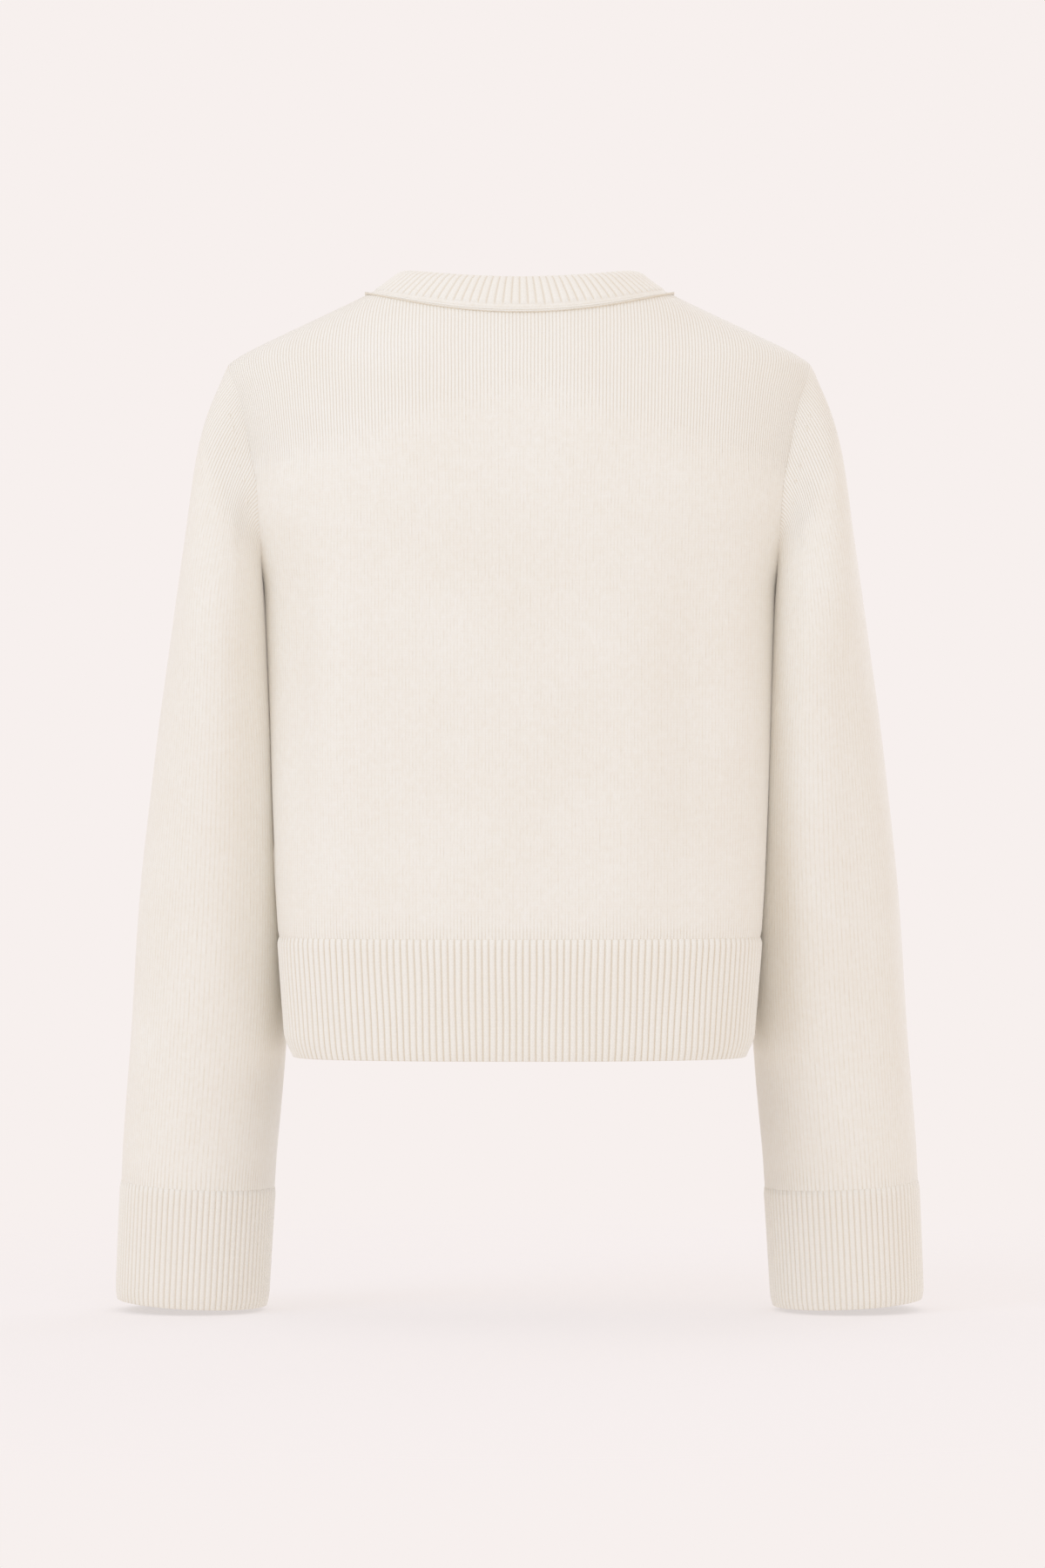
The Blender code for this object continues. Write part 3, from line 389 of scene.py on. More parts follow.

    # Tone, with painted light: the gaps between the columns are painted darker, towards the deep colour, as
    # the shade that lies in them, and the slanting loops of the stitches are painted lighter, as their
    # highlight.
    # The tone also varies at random with a slow noise, the felt and the fibres.
    tone = add(tree, "ShaderNodeTexNoise", {"Vector": here, "Scale": 14.0, "Detail": 5.0, "Roughness": 0.6})
    mean = float(np.mean((1 - np.sin(np.linspace(0, np.pi / 2, 91))) ** narrow))
    painted_light_and_tone = add(tree, "ShaderNodeMath", {0: gap, 1: mean - GAP_PAINTED_SHADE}, operation="SUBTRACT")
    painted_light_and_tone = add(tree, "ShaderNodeMath", {0: painted_light_and_tone, 1: groove}, operation="MULTIPLY")
    painted_light_and_tone = add(tree, "ShaderNodeMath", {0: painted_light_and_tone, 1: shown}, operation="MULTIPLY")
    painted_light_and_tone = add(tree, "ShaderNodeMath", {0: tone, 1: 0.14, 2: painted_light_and_tone}, operation="MULTIPLY_ADD")
    painted_light_and_tone = add(tree, "ShaderNodeMath", {0: felt, 1: 0.18, 2: painted_light_and_tone}, operation="MULTIPLY_ADD")
    painted_light_and_tone = add(tree, "ShaderNodeMath", {0: fibre, 1: 0.12, 2: painted_light_and_tone}, operation="MULTIPLY_ADD")
    painted_light_and_tone = add(tree, "ShaderNodeMath", {0: loop, 1: -0.12, 2: painted_light_and_tone}, operation="MULTIPLY_ADD",
                 use_clamp=True)
    mix = add(tree, "ShaderNodeMix", {0: painted_light_and_tone, 6: linear(pale), 7: linear(deep)}, data_type="RGBA")
    shader = add(tree, "ShaderNodeBsdfPrincipled", {
        "Base Color": mix.node.outputs[2], "Normal": bump, "Roughness": 0.90, "IOR": 1.50,
        "Specular IOR Level": 0.20, "Sheen Weight": 0.35, "Sheen Roughness": 0.50,
        "Sheen Tint": linear("#ffffff")})
    add(tree, "ShaderNodeOutputMaterial", {"Surface": shader})
    return material


JERSEY = knit("milled wool jersey", JERSEY_WALE, JERSEY_COURSE, relief=0.00017, groove=0.34, narrow=1.4,
              stray=0.25)


def worn(piece, node, material):
    """Gives a cloth piece its material, hangs it from the root and hides the solid that it stands for."""
    piece.data.materials.append(material)
    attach(piece, "root")
    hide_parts(node)


def neck_edge(turn, side):
    """Linking seam at a turn from the middle of the back or front: x is NECK_HALF sin(turn), and the height
    follows sin squared behind and 1 - cos in front."""
    back = BACK_NECK + (NECK_POINT - BACK_NECK) * np.sin(turn) ** 2
    front = NECK_POINT - (NECK_POINT - FRONT_NECK) * np.cos(turn)
    return NECK_HALF * np.sin(turn), back if side > 0 else front


def neck_turns(start):
    """Fine turns from x = start to the neck point, closer beside it, where the neckline runs forward."""
    first = np.arcsin(start / NECK_HALF)
    return np.pi / 2 - (np.pi / 2 - first) * np.linspace(1, 0, NECK_POINTS) ** 2


def armhole_curve(side):
    """Fine points up the armhole from the underarm to the shoulder: length so far, angle and height."""
    t = (1 - np.cos(np.linspace(0, np.pi, 801))) / 2
    z = UNDERARM + (SHOULDER_POINT - UNDERARM) * t
    angle = angle_of(smooth(z, ARMHOLE["height"], ARMHOLE["back" if side > 0 else "front"]), z)
    angle[[0, -1]] = np.pi / 2
    return runs(np.stack([*on_form(angle, z, side), z], axis=-1)), angle, z


def panel_top(side, start):
    """Upper edge of half a panel as fine lists of girth, angle and height: neckline, then shoulder."""
    turn = neck_turns(start)
    x, z = neck_edge(turn, side)
    angle = angle_of(x, z)
    angle[-1] = np.pi / 2
    shoulder = np.linspace(NECK_POINT, SHOULDER_POINT, 161)[1:]
    z = np.concatenate([z, shoulder])
    angle = np.concatenate([angle, np.full(len(shoulder), np.pi / 2)])
    return girth_to(angle, z, side), angle, z


def half_panel(side, start, first_lip):
    """Angle, height and wale place of half a panel's points, rows upwards and columns outwards.

    Each column keeps its share of the girth between the panel's middle edge and its outer edge, which is the
    side seam and then the armhole. Above LEVEL_BELOW the rows tip until the last one lies on the neckline and
    the shoulder, and the columns near the armhole lean with it, by their share to the power ARMHOLE_DRAW.
    The rows dip towards the armhole, by their share to the power ROW_DIP, as it runs almost level from the
    underarm. The wales stay upright as far as the underarm, and lean over with the columns above it.
    """
    top_girth, top_angle, top_z = panel_top(side, start)
    whole = top_girth[-1] - start
    share = ruled(0, whole, COLUMN_STEP, (first_lip, LIP)) / whole
    corner = (top_girth[NECK_POINTS - 1] - start) / whole
    share[np.argmin(np.abs(share - corner))] = corner
    at = start + share * whole
    end_angle, end_z = np.interp(at, top_girth, top_angle), np.interp(at, top_girth, top_z)
    run, round_angle, round_z = armhole_curve(side)
    up_seam = ruled(HEM_SEAM, UNDERARM, ROW_STEP, (LIP, 0))
    up_armhole = ruled(0, run[-1], ARMHOLE_STEP, (0, LIP))[1:]
    edge_z = np.concatenate([up_seam, np.interp(up_armhole, run, round_z)])
    edge_angle = np.concatenate([0 * up_seam + np.pi / 2, np.interp(up_armhole, run, round_angle)])
    edge_girth = girth_to(edge_angle, edge_z, side)[:, None]
    climb = np.clip((edge_z - LEVEL_BELOW) / (SHOULDER_POINT - LEVEL_BELOW), 0, 1)[:, None]
    even = climb.copy()
    even[len(up_seam):, 0] = np.interp(up_armhole, (0, run[-1]), (climb[len(up_seam) - 1, 0], 1))
    climb = even + (climb - even) * share ** ROW_DIP
    level_girth = girth_to(np.pi / 2, LEVEL_BELOW, side)
    straight = np.where(climb > 0, level_girth + climb * (top_girth[-1] - level_girth), edge_girth)
    girth = start + share * (straight - start) + share ** ARMHOLE_DRAW * (edge_girth - straight)
    z = np.where(climb > 0, LEVEL_BELOW + climb * (end_z - LEVEL_BELOW), edge_z[:, None])
    angle = angle_at(girth, z, side)
    angle[:, 0] = angle_of(start, z[:, 0])
    angle[:, -1], angle[-1] = edge_angle, end_angle
    lean = ease((z - UNDERARM) / WALE_LEAN)
    return angle, z, girth + (start + share * (level_girth - start) - girth) * lean


def add_panel(node, side, angle, z, wale, lips):
    points, facing = cloth(angle, z, side)
    uv = np.stack([wale, runs(points)], axis=-1)
    high = z + CLEAR_SLANT * np.abs(points[..., 0])
    crisp = FELTED + (1 - FELTED) * ease((high - CLEAR_FROM) / CLEAR_OVER)
    crisp = crisp + ABOVE_HEM * ease((ABOVE_HEM_FROM - z) / ABOVE_HEM_OVER)
    piece = shell(f"jersey_{node}", points, points - facing * WALL, uv, np.minimum(crisp, 1), lips=lips)
    worn(piece, node, JERSEY)


SEAMED = (LIP / 2, LIP, LIP, LIP)              # the first row, where a piece is joined on, closes tightest
angle, z, wale = half_panel(1, 0.0, 0)
angle, z, wale = (np.concatenate([sign * half[:, :0:-1], half], axis=1)
                  for sign, half in ((-1, angle), (1, z), (-1, wale)))
add_panel("back", 1, angle, z, wale, SEAMED)
angle, z, wale = half_panel(-1, BAND_HALF, LIP)
add_panel("front_left", -1, angle, z, wale, SEAMED)
add_panel("front_right", -1, -angle, z, -wale, SEAMED)

# ---------------------------------------------------------------- sleeves
# Set-in jersey sleeves. Their wales run down the arm, so they meet the armhole seam at a slant, and slanted
# double stitches a centimetre from the seam show where the cap was narrowed. They hang a little forward of
# the body and rest against its sides higher up.
CUFF_SEAM, CUFF_ROLL, CUFF_EDGE = -0.5955, -0.6685, -0.6760
SLEEVE_FREE = -0.2400
SLEEVE_ROUND = 2.15
CUFF_TIP, CUFF_TIP_OVER = 0.0050, 0.060        # how much higher a cuff lies on its outer side
CLEAR_SOFT, CLEAR_BELOW = 0.0010, -0.5200      # the rest against the body: its soft corner, and its end
UNDER_EDGE, UNDER_DEEP = 0.0016, 0.0005        # how far the cap reaches under the panel's edge, and how deep
CAP_SPREAD = 0.18            # how far the sleeve's start points to the back and front
CAP_DROP = 0.50              # and how far it points down, at the shoulder
CAP_HINGE = 1.2              # turn from the shoulder over which the sleeve comes to lead its own way
CAP_SWING = (0.47, 0.25)     # how fully it swings out of the armhole, and how much more behind and in front
CAP_TUCKED = 0.75            # how much less it swings right under the arm
CAP_ARRIVE = 1.1             # how straight it comes down into the hanging tube
CAP_HOLD_AT, CAP_HOLD = (0, 0.035, 0.10), (1, 0.5, 0)    # how far it still faces as the armhole does
SLEEVE_COLUMNS, CAP_STEP, CAP_LIP, SLEEVE_STEP = 128, 0.028, 0.010, 0.0045
SLEEVE_RIPPLE = 0.00018
SLEEVE_FELTED, CAP_CLEAR, CUFF_CLEAR = 0.26, 0.55, 0.18  # and how much clearer at the cap and at the cuff
CAP_CLEAR_END, CAP_CLEAR_OVER = 0.012, 0.050   # clear this far from the armhole seam, then fading
CAP_CLEAR_LOW, CAP_CLEAR_RISE = -0.19, 0.06    # and only from this height upwards
CUFF_CLEAR_TOP, CUFF_CLEAR_OVER = 0.022, 0.020  # clearing from this far above the cuff
FOLDS_BEGUN, CLEAR_BEGUN = 0.5, 0.20           # shares of the cap over which folds and clearance set in
FOLDS_ENDED = 0.03           # height above the cuff over which the folds end
HEM_CLEAR = 0.0045           # the hem's ribs push the sleeves out up to this far above its seam
SLEEVE = {                   # height: outer and inner edge, middle of the depth, half the depth
    "height": (-0.6760, -0.5955, -0.5100, -0.4500, -0.3800, -0.3000, -0.2400),
    "outer": (0.2731, 0.2694, 0.2633, 0.2592, 0.2530, 0.2434, 0.2348),
    "inner": (0.1712, 0.1660, 0.1586, 0.1546, 0.1537, 0.1572, 0.1626),
    "middle": (-0.0720, -0.0660, -0.0570, -0.0500, -0.0400, -0.0260, -0.0140),
    "half_depth": (0.0500, 0.0520, 0.0540, 0.0570, 0.0605, 0.0640, 0.0660),
}
ARMHOLE_STEPS = (-0.1950, -0.1760, -0.1510, -0.1250, -0.0990, -0.0750, -0.0565, -0.0475, -0.0445)
SLEEVES = {
    # folds: turn from the outer edge (a quarter turn is the back), top, bottom, half turn, rise
    # creases in front of the elbow: turn, height, half turn, half height, slant, rise
    # gap: height and the room left between sleeve and body there
    "left": {
        "folds": ((1.55, -0.1500, -0.5600, 0.26, 0.0018), (0.95, -0.2200, -0.5900, 0.24, -0.0016),
                  (2.10, -0.2000, -0.5200, 0.26, -0.0020), (0.35, -0.3000, -0.5900, 0.30, 0.0012),
                  (-1.30, -0.1400, -0.4300, 0.28, -0.0024), (-1.75, -0.2600, -0.5800, 0.30, 0.0020),
                  (-0.60, -0.3200, -0.5800, 0.30, -0.0012)),
        "creases": ((-1.60, -0.3700, 0.55, 0.0090, 0.020, -0.0016),
                    (-1.45, -0.4000, 0.60, 0.0080, -0.016, -0.0012)),
        "gap": ((-0.5000, -0.4200, -0.3300, -0.2400), (-0.0002, -0.0010, -0.0016, -0.0016)),
    },
    "right": {
        "folds": ((1.75, -0.1600, -0.5700, 0.25, 0.0017), (1.20, -0.1900, -0.5500, 0.22, -0.0020),
                  (0.70, -0.2600, -0.5900, 0.26, 0.0014), (2.25, -0.2400, -0.5400, 0.24, -0.0016),
                  (-1.15, -0.1500, -0.4600, 0.28, -0.0022), (-1.70, -0.2400, -0.5700, 0.28, 0.0018),
                  (-0.50, -0.3000, -0.5900, 0.30, -0.0012)),
        "creases": ((-1.50, -0.3600, 0.60, 0.0085, -0.018, -0.0015),
                    (-1.70, -0.3950, 0.50, 0.0080, 0.015, -0.0013)),
        "gap": ((-0.5000, -0.4200, -0.3300, -0.2400), (0.0012, 0.0002, -0.0008, -0.0014)),
    },
}


def sleeve_ring(z, turn):
    """Level cut of the hanging sleeve, a superellipse between its outer and inner edge."""
    outer, inner, middle, deep = (smooth(z, SLEEVE["height"], SLEEVE[key])
                                  for key in ("outer", "inner", "middle", "half_depth"))
    across, along = (np.sign(w) * np.abs(w) ** (2 / SLEEVE_ROUND) for w in (np.cos(turn), np.sin(turn)))
    x = (outer + inner) / 2 + (outer - inner) / 2 * across
    return np.stack([x, middle + deep * along, z + 0 * x], axis=-1)


def tipped(points, turn):
    """Lifts the outer side of the cuffs and of the sleeve just above them, by a square of (1 + cos)/2."""
    near = ease((CUFF_SEAM + CUFF_TIP_OVER - points[..., 2]) / CUFF_TIP_OVER)
    lift = CUFF_TIP * ((1 + np.cos(turn)) / 2) ** 2 * near
    return points + np.stack([0 * lift, 0 * lift, lift], axis=-1)


def grid_normal(points):
    """Outward direction of a tube whose rows run down and whose columns run from its outer edge backwards."""
    across = np.roll(points, -1, axis=1) - np.roll(points, 1, axis=1)
    return unit(np.cross(np.gradient(points, axis=0), across))


def carried(start, leave, end, arrive, t):
    """Hermite curve from start to end that leaves and arrives along the given vectors."""
    return (start * (1 + 2 * t) * (1 - t) ** 2 + end * t * t * (3 - 2 * t)
            + leave * t * (1 - t) ** 2 - arrive * t * t * (1 - t))


def hung_clear(points, room):
    """Moves points outwards where they come nearer to the body's side than the room given, with a soft corner
    ln(1 + e^t) in place of a hard one."""
    y, z = points[..., 1], points[..., 2]
    n = roundness(z)
    beside = np.clip(1 - (np.abs(y) / depth(z, np.where(y > 0, 1, -1))) ** n, 0, 1)
    reach = half_width(z) * beside ** (1 / n) + RIB_RISE * (z < HEM_SEAM + HEM_CLEAR)
    least = np.where(z > CLEAR_BELOW, reach, 0.0) + room
    points = points.copy()
    points[..., 0] += CLEAR_SOFT * np.logaddexp(0, (least - points[..., 0]) / CLEAR_SOFT)
    return points


def armhole_ring(turn):
    """Armhole seam at each turn (0 at the shoulder, a quarter turn behind), the way the cloth faces there,
    and the way in which the panel would go on."""
    steps = np.linspace(0, np.pi, len(ARMHOLE_STEPS))
    points, facing = np.empty((len(turn), 3)), np.empty((len(turn), 3))
    for side, here in ((1, turn >= 0), (-1, turn < 0)):
        run, angle, z = armhole_curve(side)
        at = smooth(np.abs(turn[here]), steps, np.interp(ARMHOLE_STEPS[::-1], z, run))
        points[here], facing[here] = cloth(np.interp(at, run, angle), np.interp(at, run, z), side)
    onward = unit(np.roll(points, -1, axis=0) - np.roll(points, 1, axis=0))
    return points, facing, unit(np.cross(onward, facing))


turn = np.linspace(-np.pi, np.pi, SLEEVE_COLUMNS, endpoint=False)
start, facing, leaving = armhole_ring(turn)
low = (1 - np.cos(turn))[:, None] / 2
outward = unit(np.stack([1 + 0 * turn, CAP_SPREAD * np.sin(turn), -CAP_DROP * (1 - low[:, 0])], axis=-1))
hinge = ease(np.abs(turn) / CAP_HINGE)[:, None]
leave = unit(leaving * (1 - hinge) + outward * hinge)
first = start - UNDER_EDGE * unit(leaving * (1 - low) + outward * low) - UNDER_DEEP * facing * (1 - low)
end = sleeve_ring(SLEEVE_FREE, turn)
reach = np.linalg.norm(end - first, axis=1)[:, None]
arrive = unit(sleeve_ring(SLEEVE["height"][-2], turn) - end) * reach * CAP_ARRIVE
fullness = CAP_SWING[0] + CAP_SWING[1] * np.sin(turn)[:, None] ** 2
swing = leave * reach * fullness * (1 - CAP_TUCKED * ease(low * 4 - 3))
cap_share = ruled(0, 1, CAP_STEP, (CAP_LIP, 0))
cap = np.stack([carried(first, swing, end, arrive, t) for t in cap_share[:-1]])
heights = ruled(SLEEVE_FREE, CUFF_SEAM, SLEEVE_STEP, (0, LIP))
plain_sleeve = tipped(np.concatenate([cap, np.stack([sleeve_ring(z, turn) for z in heights])]), turn)
begun = np.concatenate([cap_share[:-1], np.ones(len(heights))])[:, None]


def folded_sleeve(shape):
    """The plain sleeve with its folds, each a bell across and a half sine along, its elbow creases, its
    ripple and its rest against the body, and the way that it faces."""
    out = grid_normal(plain_sleeve)
    z, place = plain_sleeve[..., 2], turn + 0 * plain_sleeve[..., 2]
    wave = np.sin(3 * place + 31 * z) + np.sin(2 * place - 47 * z + 1) + np.sin(5 * place + 19 * z)
    rise = SLEEVE_RIPPLE * wave
    for fold_turn, top, bottom, width, height in shape["folds"]:
        apart = np.angle(np.exp(1j * (place - fold_turn)))
        along = np.clip((top - z) / (top - bottom), 0, 1)
        rise += height * np.exp(-(apart / width) ** 2) * np.sin(np.pi * along)
    for fold_turn, level, width, tall, slant, height in shape["creases"]:
        apart = np.angle(np.exp(1j * (place - fold_turn)))
        rise += height * np.exp(-(apart / width) ** 2 - ((z - level - slant * apart) / tall) ** 2)
    rise *= ease(begun / FOLDS_BEGUN) * ease((z - CUFF_SEAM) / FOLDS_ENDED)
    points = plain_sleeve + out * rise[..., None]
    beside = np.interp(points[..., 2], *shape["gap"])
    room = beside * ease(begun / CLEAR_BEGUN) - UNDER_EDGE * (1 - ease(begun / CLEAR_BEGUN))
    points[1:] = hung_clear(points, room)[1:]
    out = grid_normal(points)
    square = unit(out[0] - leave * np.sum(out[0] * leave, axis=1)[:, None])
    upper = 1 - ease(low * 3)
    rim = unit(facing * upper + square * (1 - upper))
    hold = np.interp(begun[:, 0], CAP_HOLD_AT, CAP_HOLD)[:, None, None]
    return points, unit(out * (1 - hold) + rim * hold)


# The wales: down the tube they keep their place in its girth. Over the cap they follow the arm, so their
# place comes from the angle at which a point lies round the arm's middle. That leans in to the shoulder.
ARM_LEAN, ARM_RISE = 0.0500, 0.1950
OVER_CAP_TURN, OVER_CAP_FADE = 1.6, 0.9        # turn from the shoulder up to which they follow it, then fade
fine = np.linspace(0, np.pi, 721)
run = runs(sleeve_ring(SLEEVE_FREE, fine))
full_turn = np.append(turn, np.pi)
closed = np.concatenate([plain_sleeve, plain_sleeve[:, :1]], axis=1)
by_turn = np.sign(full_turn) * np.interp(np.abs(full_turn), fine, run) + 0 * closed[..., 2]
outer, inner, middle, deep = (smooth(closed[..., 2], SLEEVE["height"], SLEEVE[key])
                              for key in ("outer", "inner", "middle", "half_depth"))
leaning = ARM_LEAN * np.clip((closed[..., 2] - SLEEVE_FREE) / ARM_RISE, 0, 1) ** 2
aside = (closed[..., 0] - (outer + inner) / 2 + leaning) * 2 / (outer - inner)
behind = (closed[..., 1] - middle) / deep
round_arm = np.arctan2(np.abs(behind) ** (SLEEVE_ROUND / 2),
                       np.sign(aside) * np.abs(aside) ** (SLEEVE_ROUND / 2))
by_place = np.sign(behind) * np.interp(round_arm, fine, run)
over_cap = 1 - ease((np.abs(full_turn) - OVER_CAP_TURN) / OVER_CAP_FADE)
sleeve_uv = np.stack([by_turn + (by_place - by_turn) * over_cap, runs(closed)], axis=-1)
sleeve_z = plain_sleeve[..., 2]
beside_cap = 1 - ease((runs(plain_sleeve) - CAP_CLEAR_END) / CAP_CLEAR_OVER)
beside_cap = beside_cap * ease((sleeve_z - CAP_CLEAR_LOW) / CAP_CLEAR_RISE)
beside_cuff = ease((CUFF_SEAM + CUFF_CLEAR_TOP - sleeve_z) / CUFF_CLEAR_OVER)
sleeve_crisp = SLEEVE_FELTED + CAP_CLEAR * beside_cap + CUFF_CLEAR * beside_cuff

# Narrowing marks: where two stitches were knitted together, one leg lies slanted over the other. Each is a
# short bean of yarn, half sunk in the jersey a centimetre from the seam.
MARK_LONG, MARK_WIDE, MARK_HIGH, MARK_IN, MARK_SLANT = 0.0044, 0.0012, 0.0006, 0.0100, 0.5
MARK_TURNS = np.linspace(1.16, 2.05, 6)
around, length = np.meshgrid(np.linspace(0, 2 * np.pi, 12, endpoint=False), np.linspace(0.2, np.pi - 0.2, 9))
bean = np.stack([-np.cos(length) * MARK_LONG / 2, np.sin(length) * np.cos(around) * MARK_WIDE / 2,
                 np.sin(length) * np.sin(around) * MARK_HIGH], axis=-1).reshape(-1, 3)


def hose_faces(hoops, size):
    """Faces of a closed hose of hoops with size points each: the quads between them, then its two ends."""
    r, c = (v.ravel() for v in np.meshgrid(np.arange(hoops - 1), np.arange(size), indexing="ij"))
    after = (c + 1) % size
    quads = np.stack([r * size + c, r * size + after, (r + 1) * size + after, (r + 1) * size + c], axis=1)
    return quads, np.stack([np.arange(size)[::-1], (hoops - 1) * size + np.arange(size)])


for name, mirror, order in (("left", np.array([1, 1, 1]), 1), ("right", np.array([-1, 1, 1]), -1)):
    sleeve, out = folded_sleeve(SLEEVES[name])
    piece = shell(f"jersey_sleeve_{name}", sleeve * mirror, (sleeve - out * WALL) * mirror, sleeve_uv,
                  np.minimum(sleeve_crisp, 1), ring=True, lips=(LIP, LIP / 2))
    worn(piece, f"sleeve_{name}", JERSEY)

    vertices, faces = [], []
    for side in (1, -1):
        for mark_turn in MARK_TURNS:
            k = int(np.argmin(np.abs(turn - side * mark_turn)))
            j = int(np.searchsorted(runs(sleeve)[:, k], MARK_IN))
            rows_on, columns_on = sleeve[j + 1, k] - sleeve[j, k], sleeve[j, k + 1] - sleeve[j, k]
            steps = sleeve_uv[j + 1, k, 0] - sleeve_uv[j, k, 0], sleeve_uv[j, k + 1, 0] - sleeve_uv[j, k, 0]
            wale_way = unit(rows_on * steps[1] - columns_on * steps[0])
            along = unit(wale_way + MARK_SLANT * side * np.cross(out[j, k], wale_way))
            axes = np.stack([along, unit(np.cross(out[j, k], along)), out[j, k]])
            for part in hose_faces(*around.shape):
                faces += (part[:, ::order] + len(bean) * len(vertices)).tolist()
            vertices.append((sleeve[j, k] + bean @ axes) * mirror)
    marks = new_piece(f"narrowing_marks_{name}", np.concatenate(vertices), faces)
    marks.data.materials.append(JERSEY)
    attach(marks, "root")

# ---------------------------------------------------------------- hem
# A deep welt in one-and-one rib, knitted on to the body: each rib is a column of plain stitches that stands
# out between columns of purl stitches. Its last rows roll in a little.
HEM_RIB = 0.0045
RIB_POINTS = 8               # columns of points across one rib
EDGE_ROLL = 0.0012
CORNER_IN, CORNER_FROM = 0.0036, -0.4880       # how far the lower corners draw in beside the side seams
CORNER_TIGHT = 8             # the power that keeps this close to the seams
HEM_ROW = 0.0036
RIB_START = 0.0012           # the ribs rise over this distance from their first row
RIB_INSIDE = 0.6             # how high they are inside, as a share of their rise outside
RIB_CRISP = 0.72
STRAY = 0.00015              # how far ribs stray sideways
WELT = knit("wool rib welt", HEM_RIB, 0.0021, relief=0.00026, groove=0.46, narrow=3.0)


def rib_profile(phase):
    """Height across a rib: a broad back and a narrow purl groove, (0.5 - 0.5 cos) to the power 0.45."""
    return (0.5 - 0.5 * np.cos(2 * np.pi * phase)) ** 0.45


def rib_wall(points, facing, plain=0.0, rise=RIB_RISE):
    """Outer and inner grids of a rib wall. Outside each rib stands out of the ground by rise; inside, the
    purl columns stand out in turn. The first rows stay plain for the given length."""
    phase = np.arange(points.shape[1]) / RIB_POINTS
    begun = ease((runs(points) - plain) / RIB_START)
    outer = points + facing * (rise * rib_profile(phase) * begun)[..., None]
    inner = points - facing * (WALL + RIB_INSIDE * rise * rib_profile(phase + 0.5) * begun)[..., None]
    return outer, inner


def add_hem(node, side, first, last):
    """first and last give the signed girths between which the hem lies, as functions of height."""
    z = ruled(HEM_SEAM + TUCK, HEM_EDGE, HEM_ROW, (LIP / 2, LIP))
    a, b = first(HEM_SEAM), last(HEM_SEAM)
    ribs = int(round((b - a) / HEM_RIB))
    share = np.linspace(0, 1, ribs * RIB_POINTS + 1)
    girth = first(z)[:, None] + (last(z) - first(z))[:, None] * share
    grid_z = z[:, None] + 0 * girth
    held = np.sin(np.pi * share) ** 0.3 * ease((HEM_SEAM - grid_z) / 0.02)
    girth = girth + STRAY * held * (np.sin(83 * girth + 71 * grid_z) + np.sin(151 * girth - 57 * grid_z + 1))
    angle = np.sign(girth) * angle_at(np.abs(girth), grid_z, side)
    if side > 0:
        angle[:, [0, -1]] = (-np.pi / 2, np.pi / 2)
    points, facing = cloth(angle, grid_z, side)
    facing[..., 2] = 0
    facing[:, np.abs(points[0, :, 0]) < BAND_HALF + REST_GAP, 0] = 0
    facing = unit(facing)
    corner = (np.abs(points[..., 0]) / half_width(grid_z)) ** CORNER_TIGHT
    corner = corner * ease((CORNER_FROM - grid_z) / (CORNER_FROM - HEM_EDGE))
    roll = EDGE_ROLL * ease((HEM_ROLL - grid_z) / (HEM_ROLL - HEM_EDGE)) + CORNER_IN * corner
    points = points - facing * roll[..., None]
    outer, inner = rib_wall(points, facing)
    uv = np.stack([share * ribs * HEM_RIB + 0 * grid_z, runs(points)], axis=-1)
    piece = shell(f"welt_{node}", outer, inner, uv, RIB_CRISP, lips=SEAMED)
    worn(piece, node, WELT)


def seam_girth(z, side):
    return np.interp(z, LEVELS, EVEN[side][1])


def band_girth(z):
    """Girth of the front at which its front band is linked on."""
    return girth_to(angle_of(BAND_HALF, z), z, -1)


add_hem("hem_back", 1, lambda z: -seam_girth(z, 1), lambda z: seam_girth(z, 1))
add_hem("hem_left", -1, band_girth, lambda z: seam_girth(z, -1))
add_hem("hem_right", -1, lambda z: -seam_girth(z, -1), lambda z: -band_girth(z))

# ---------------------------------------------------------------- cuffs
# Tall cuffs in the same yarn and rib as the hem, only finer, knitted on to the sleeves. They follow the
# sleeve's tube down to the wrist, where their last rows roll in a little.
CUFF_RIB, CUFF_ROW = 0.0040, 0.0042
CUFF_RIBBING = knit("wool rib cuff", CUFF_RIB, 0.0020, relief=0.00024, groove=0.32, narrow=3.0)

fine = np.linspace(-np.pi, np.pi, 2881)
run = runs(sleeve_ring(CUFF_SEAM, fine))
ribs = int(round(run[-1] / CUFF_RIB))
columns = ribs * RIB_POINTS
turn = np.interp(np.arange(columns) / columns * run[-1], run, fine)
heights = ruled(CUFF_SEAM + TUCK, CUFF_EDGE, CUFF_ROW, (LIP / 2, LIP))
cuff = tipped(np.stack([sleeve_ring(z, turn) for z in heights]), turn)
out = grid_normal(cuff)
out[..., 2] = 0
out = unit(out)
cuff = cuff - out * (EDGE_ROLL * ease((CUFF_ROLL - heights) / (CUFF_ROLL - CUFF_EDGE)))[:, None, None]
outer, inner = rib_wall(cuff, out)
closed = np.concatenate([cuff, cuff[:, :1]], axis=1)
across = np.arange(columns + 1) / RIB_POINTS * CUFF_RIB
cuff_uv = np.stack([across + 0 * closed[..., 2], runs(closed)], axis=-1)
for name, mirror in (("left", np.array([1, 1, 1])), ("right", np.array([-1, 1, 1]))):
    piece = shell(f"ribbing_cuff_{name}", outer * mirror, inner * mirror, cuff_uv, RIB_CRISP, ring=True,
                  lips=(LIP / 2, LIP))
    worn(piece, f"cuff_{name}", CUFF_RIBBING)

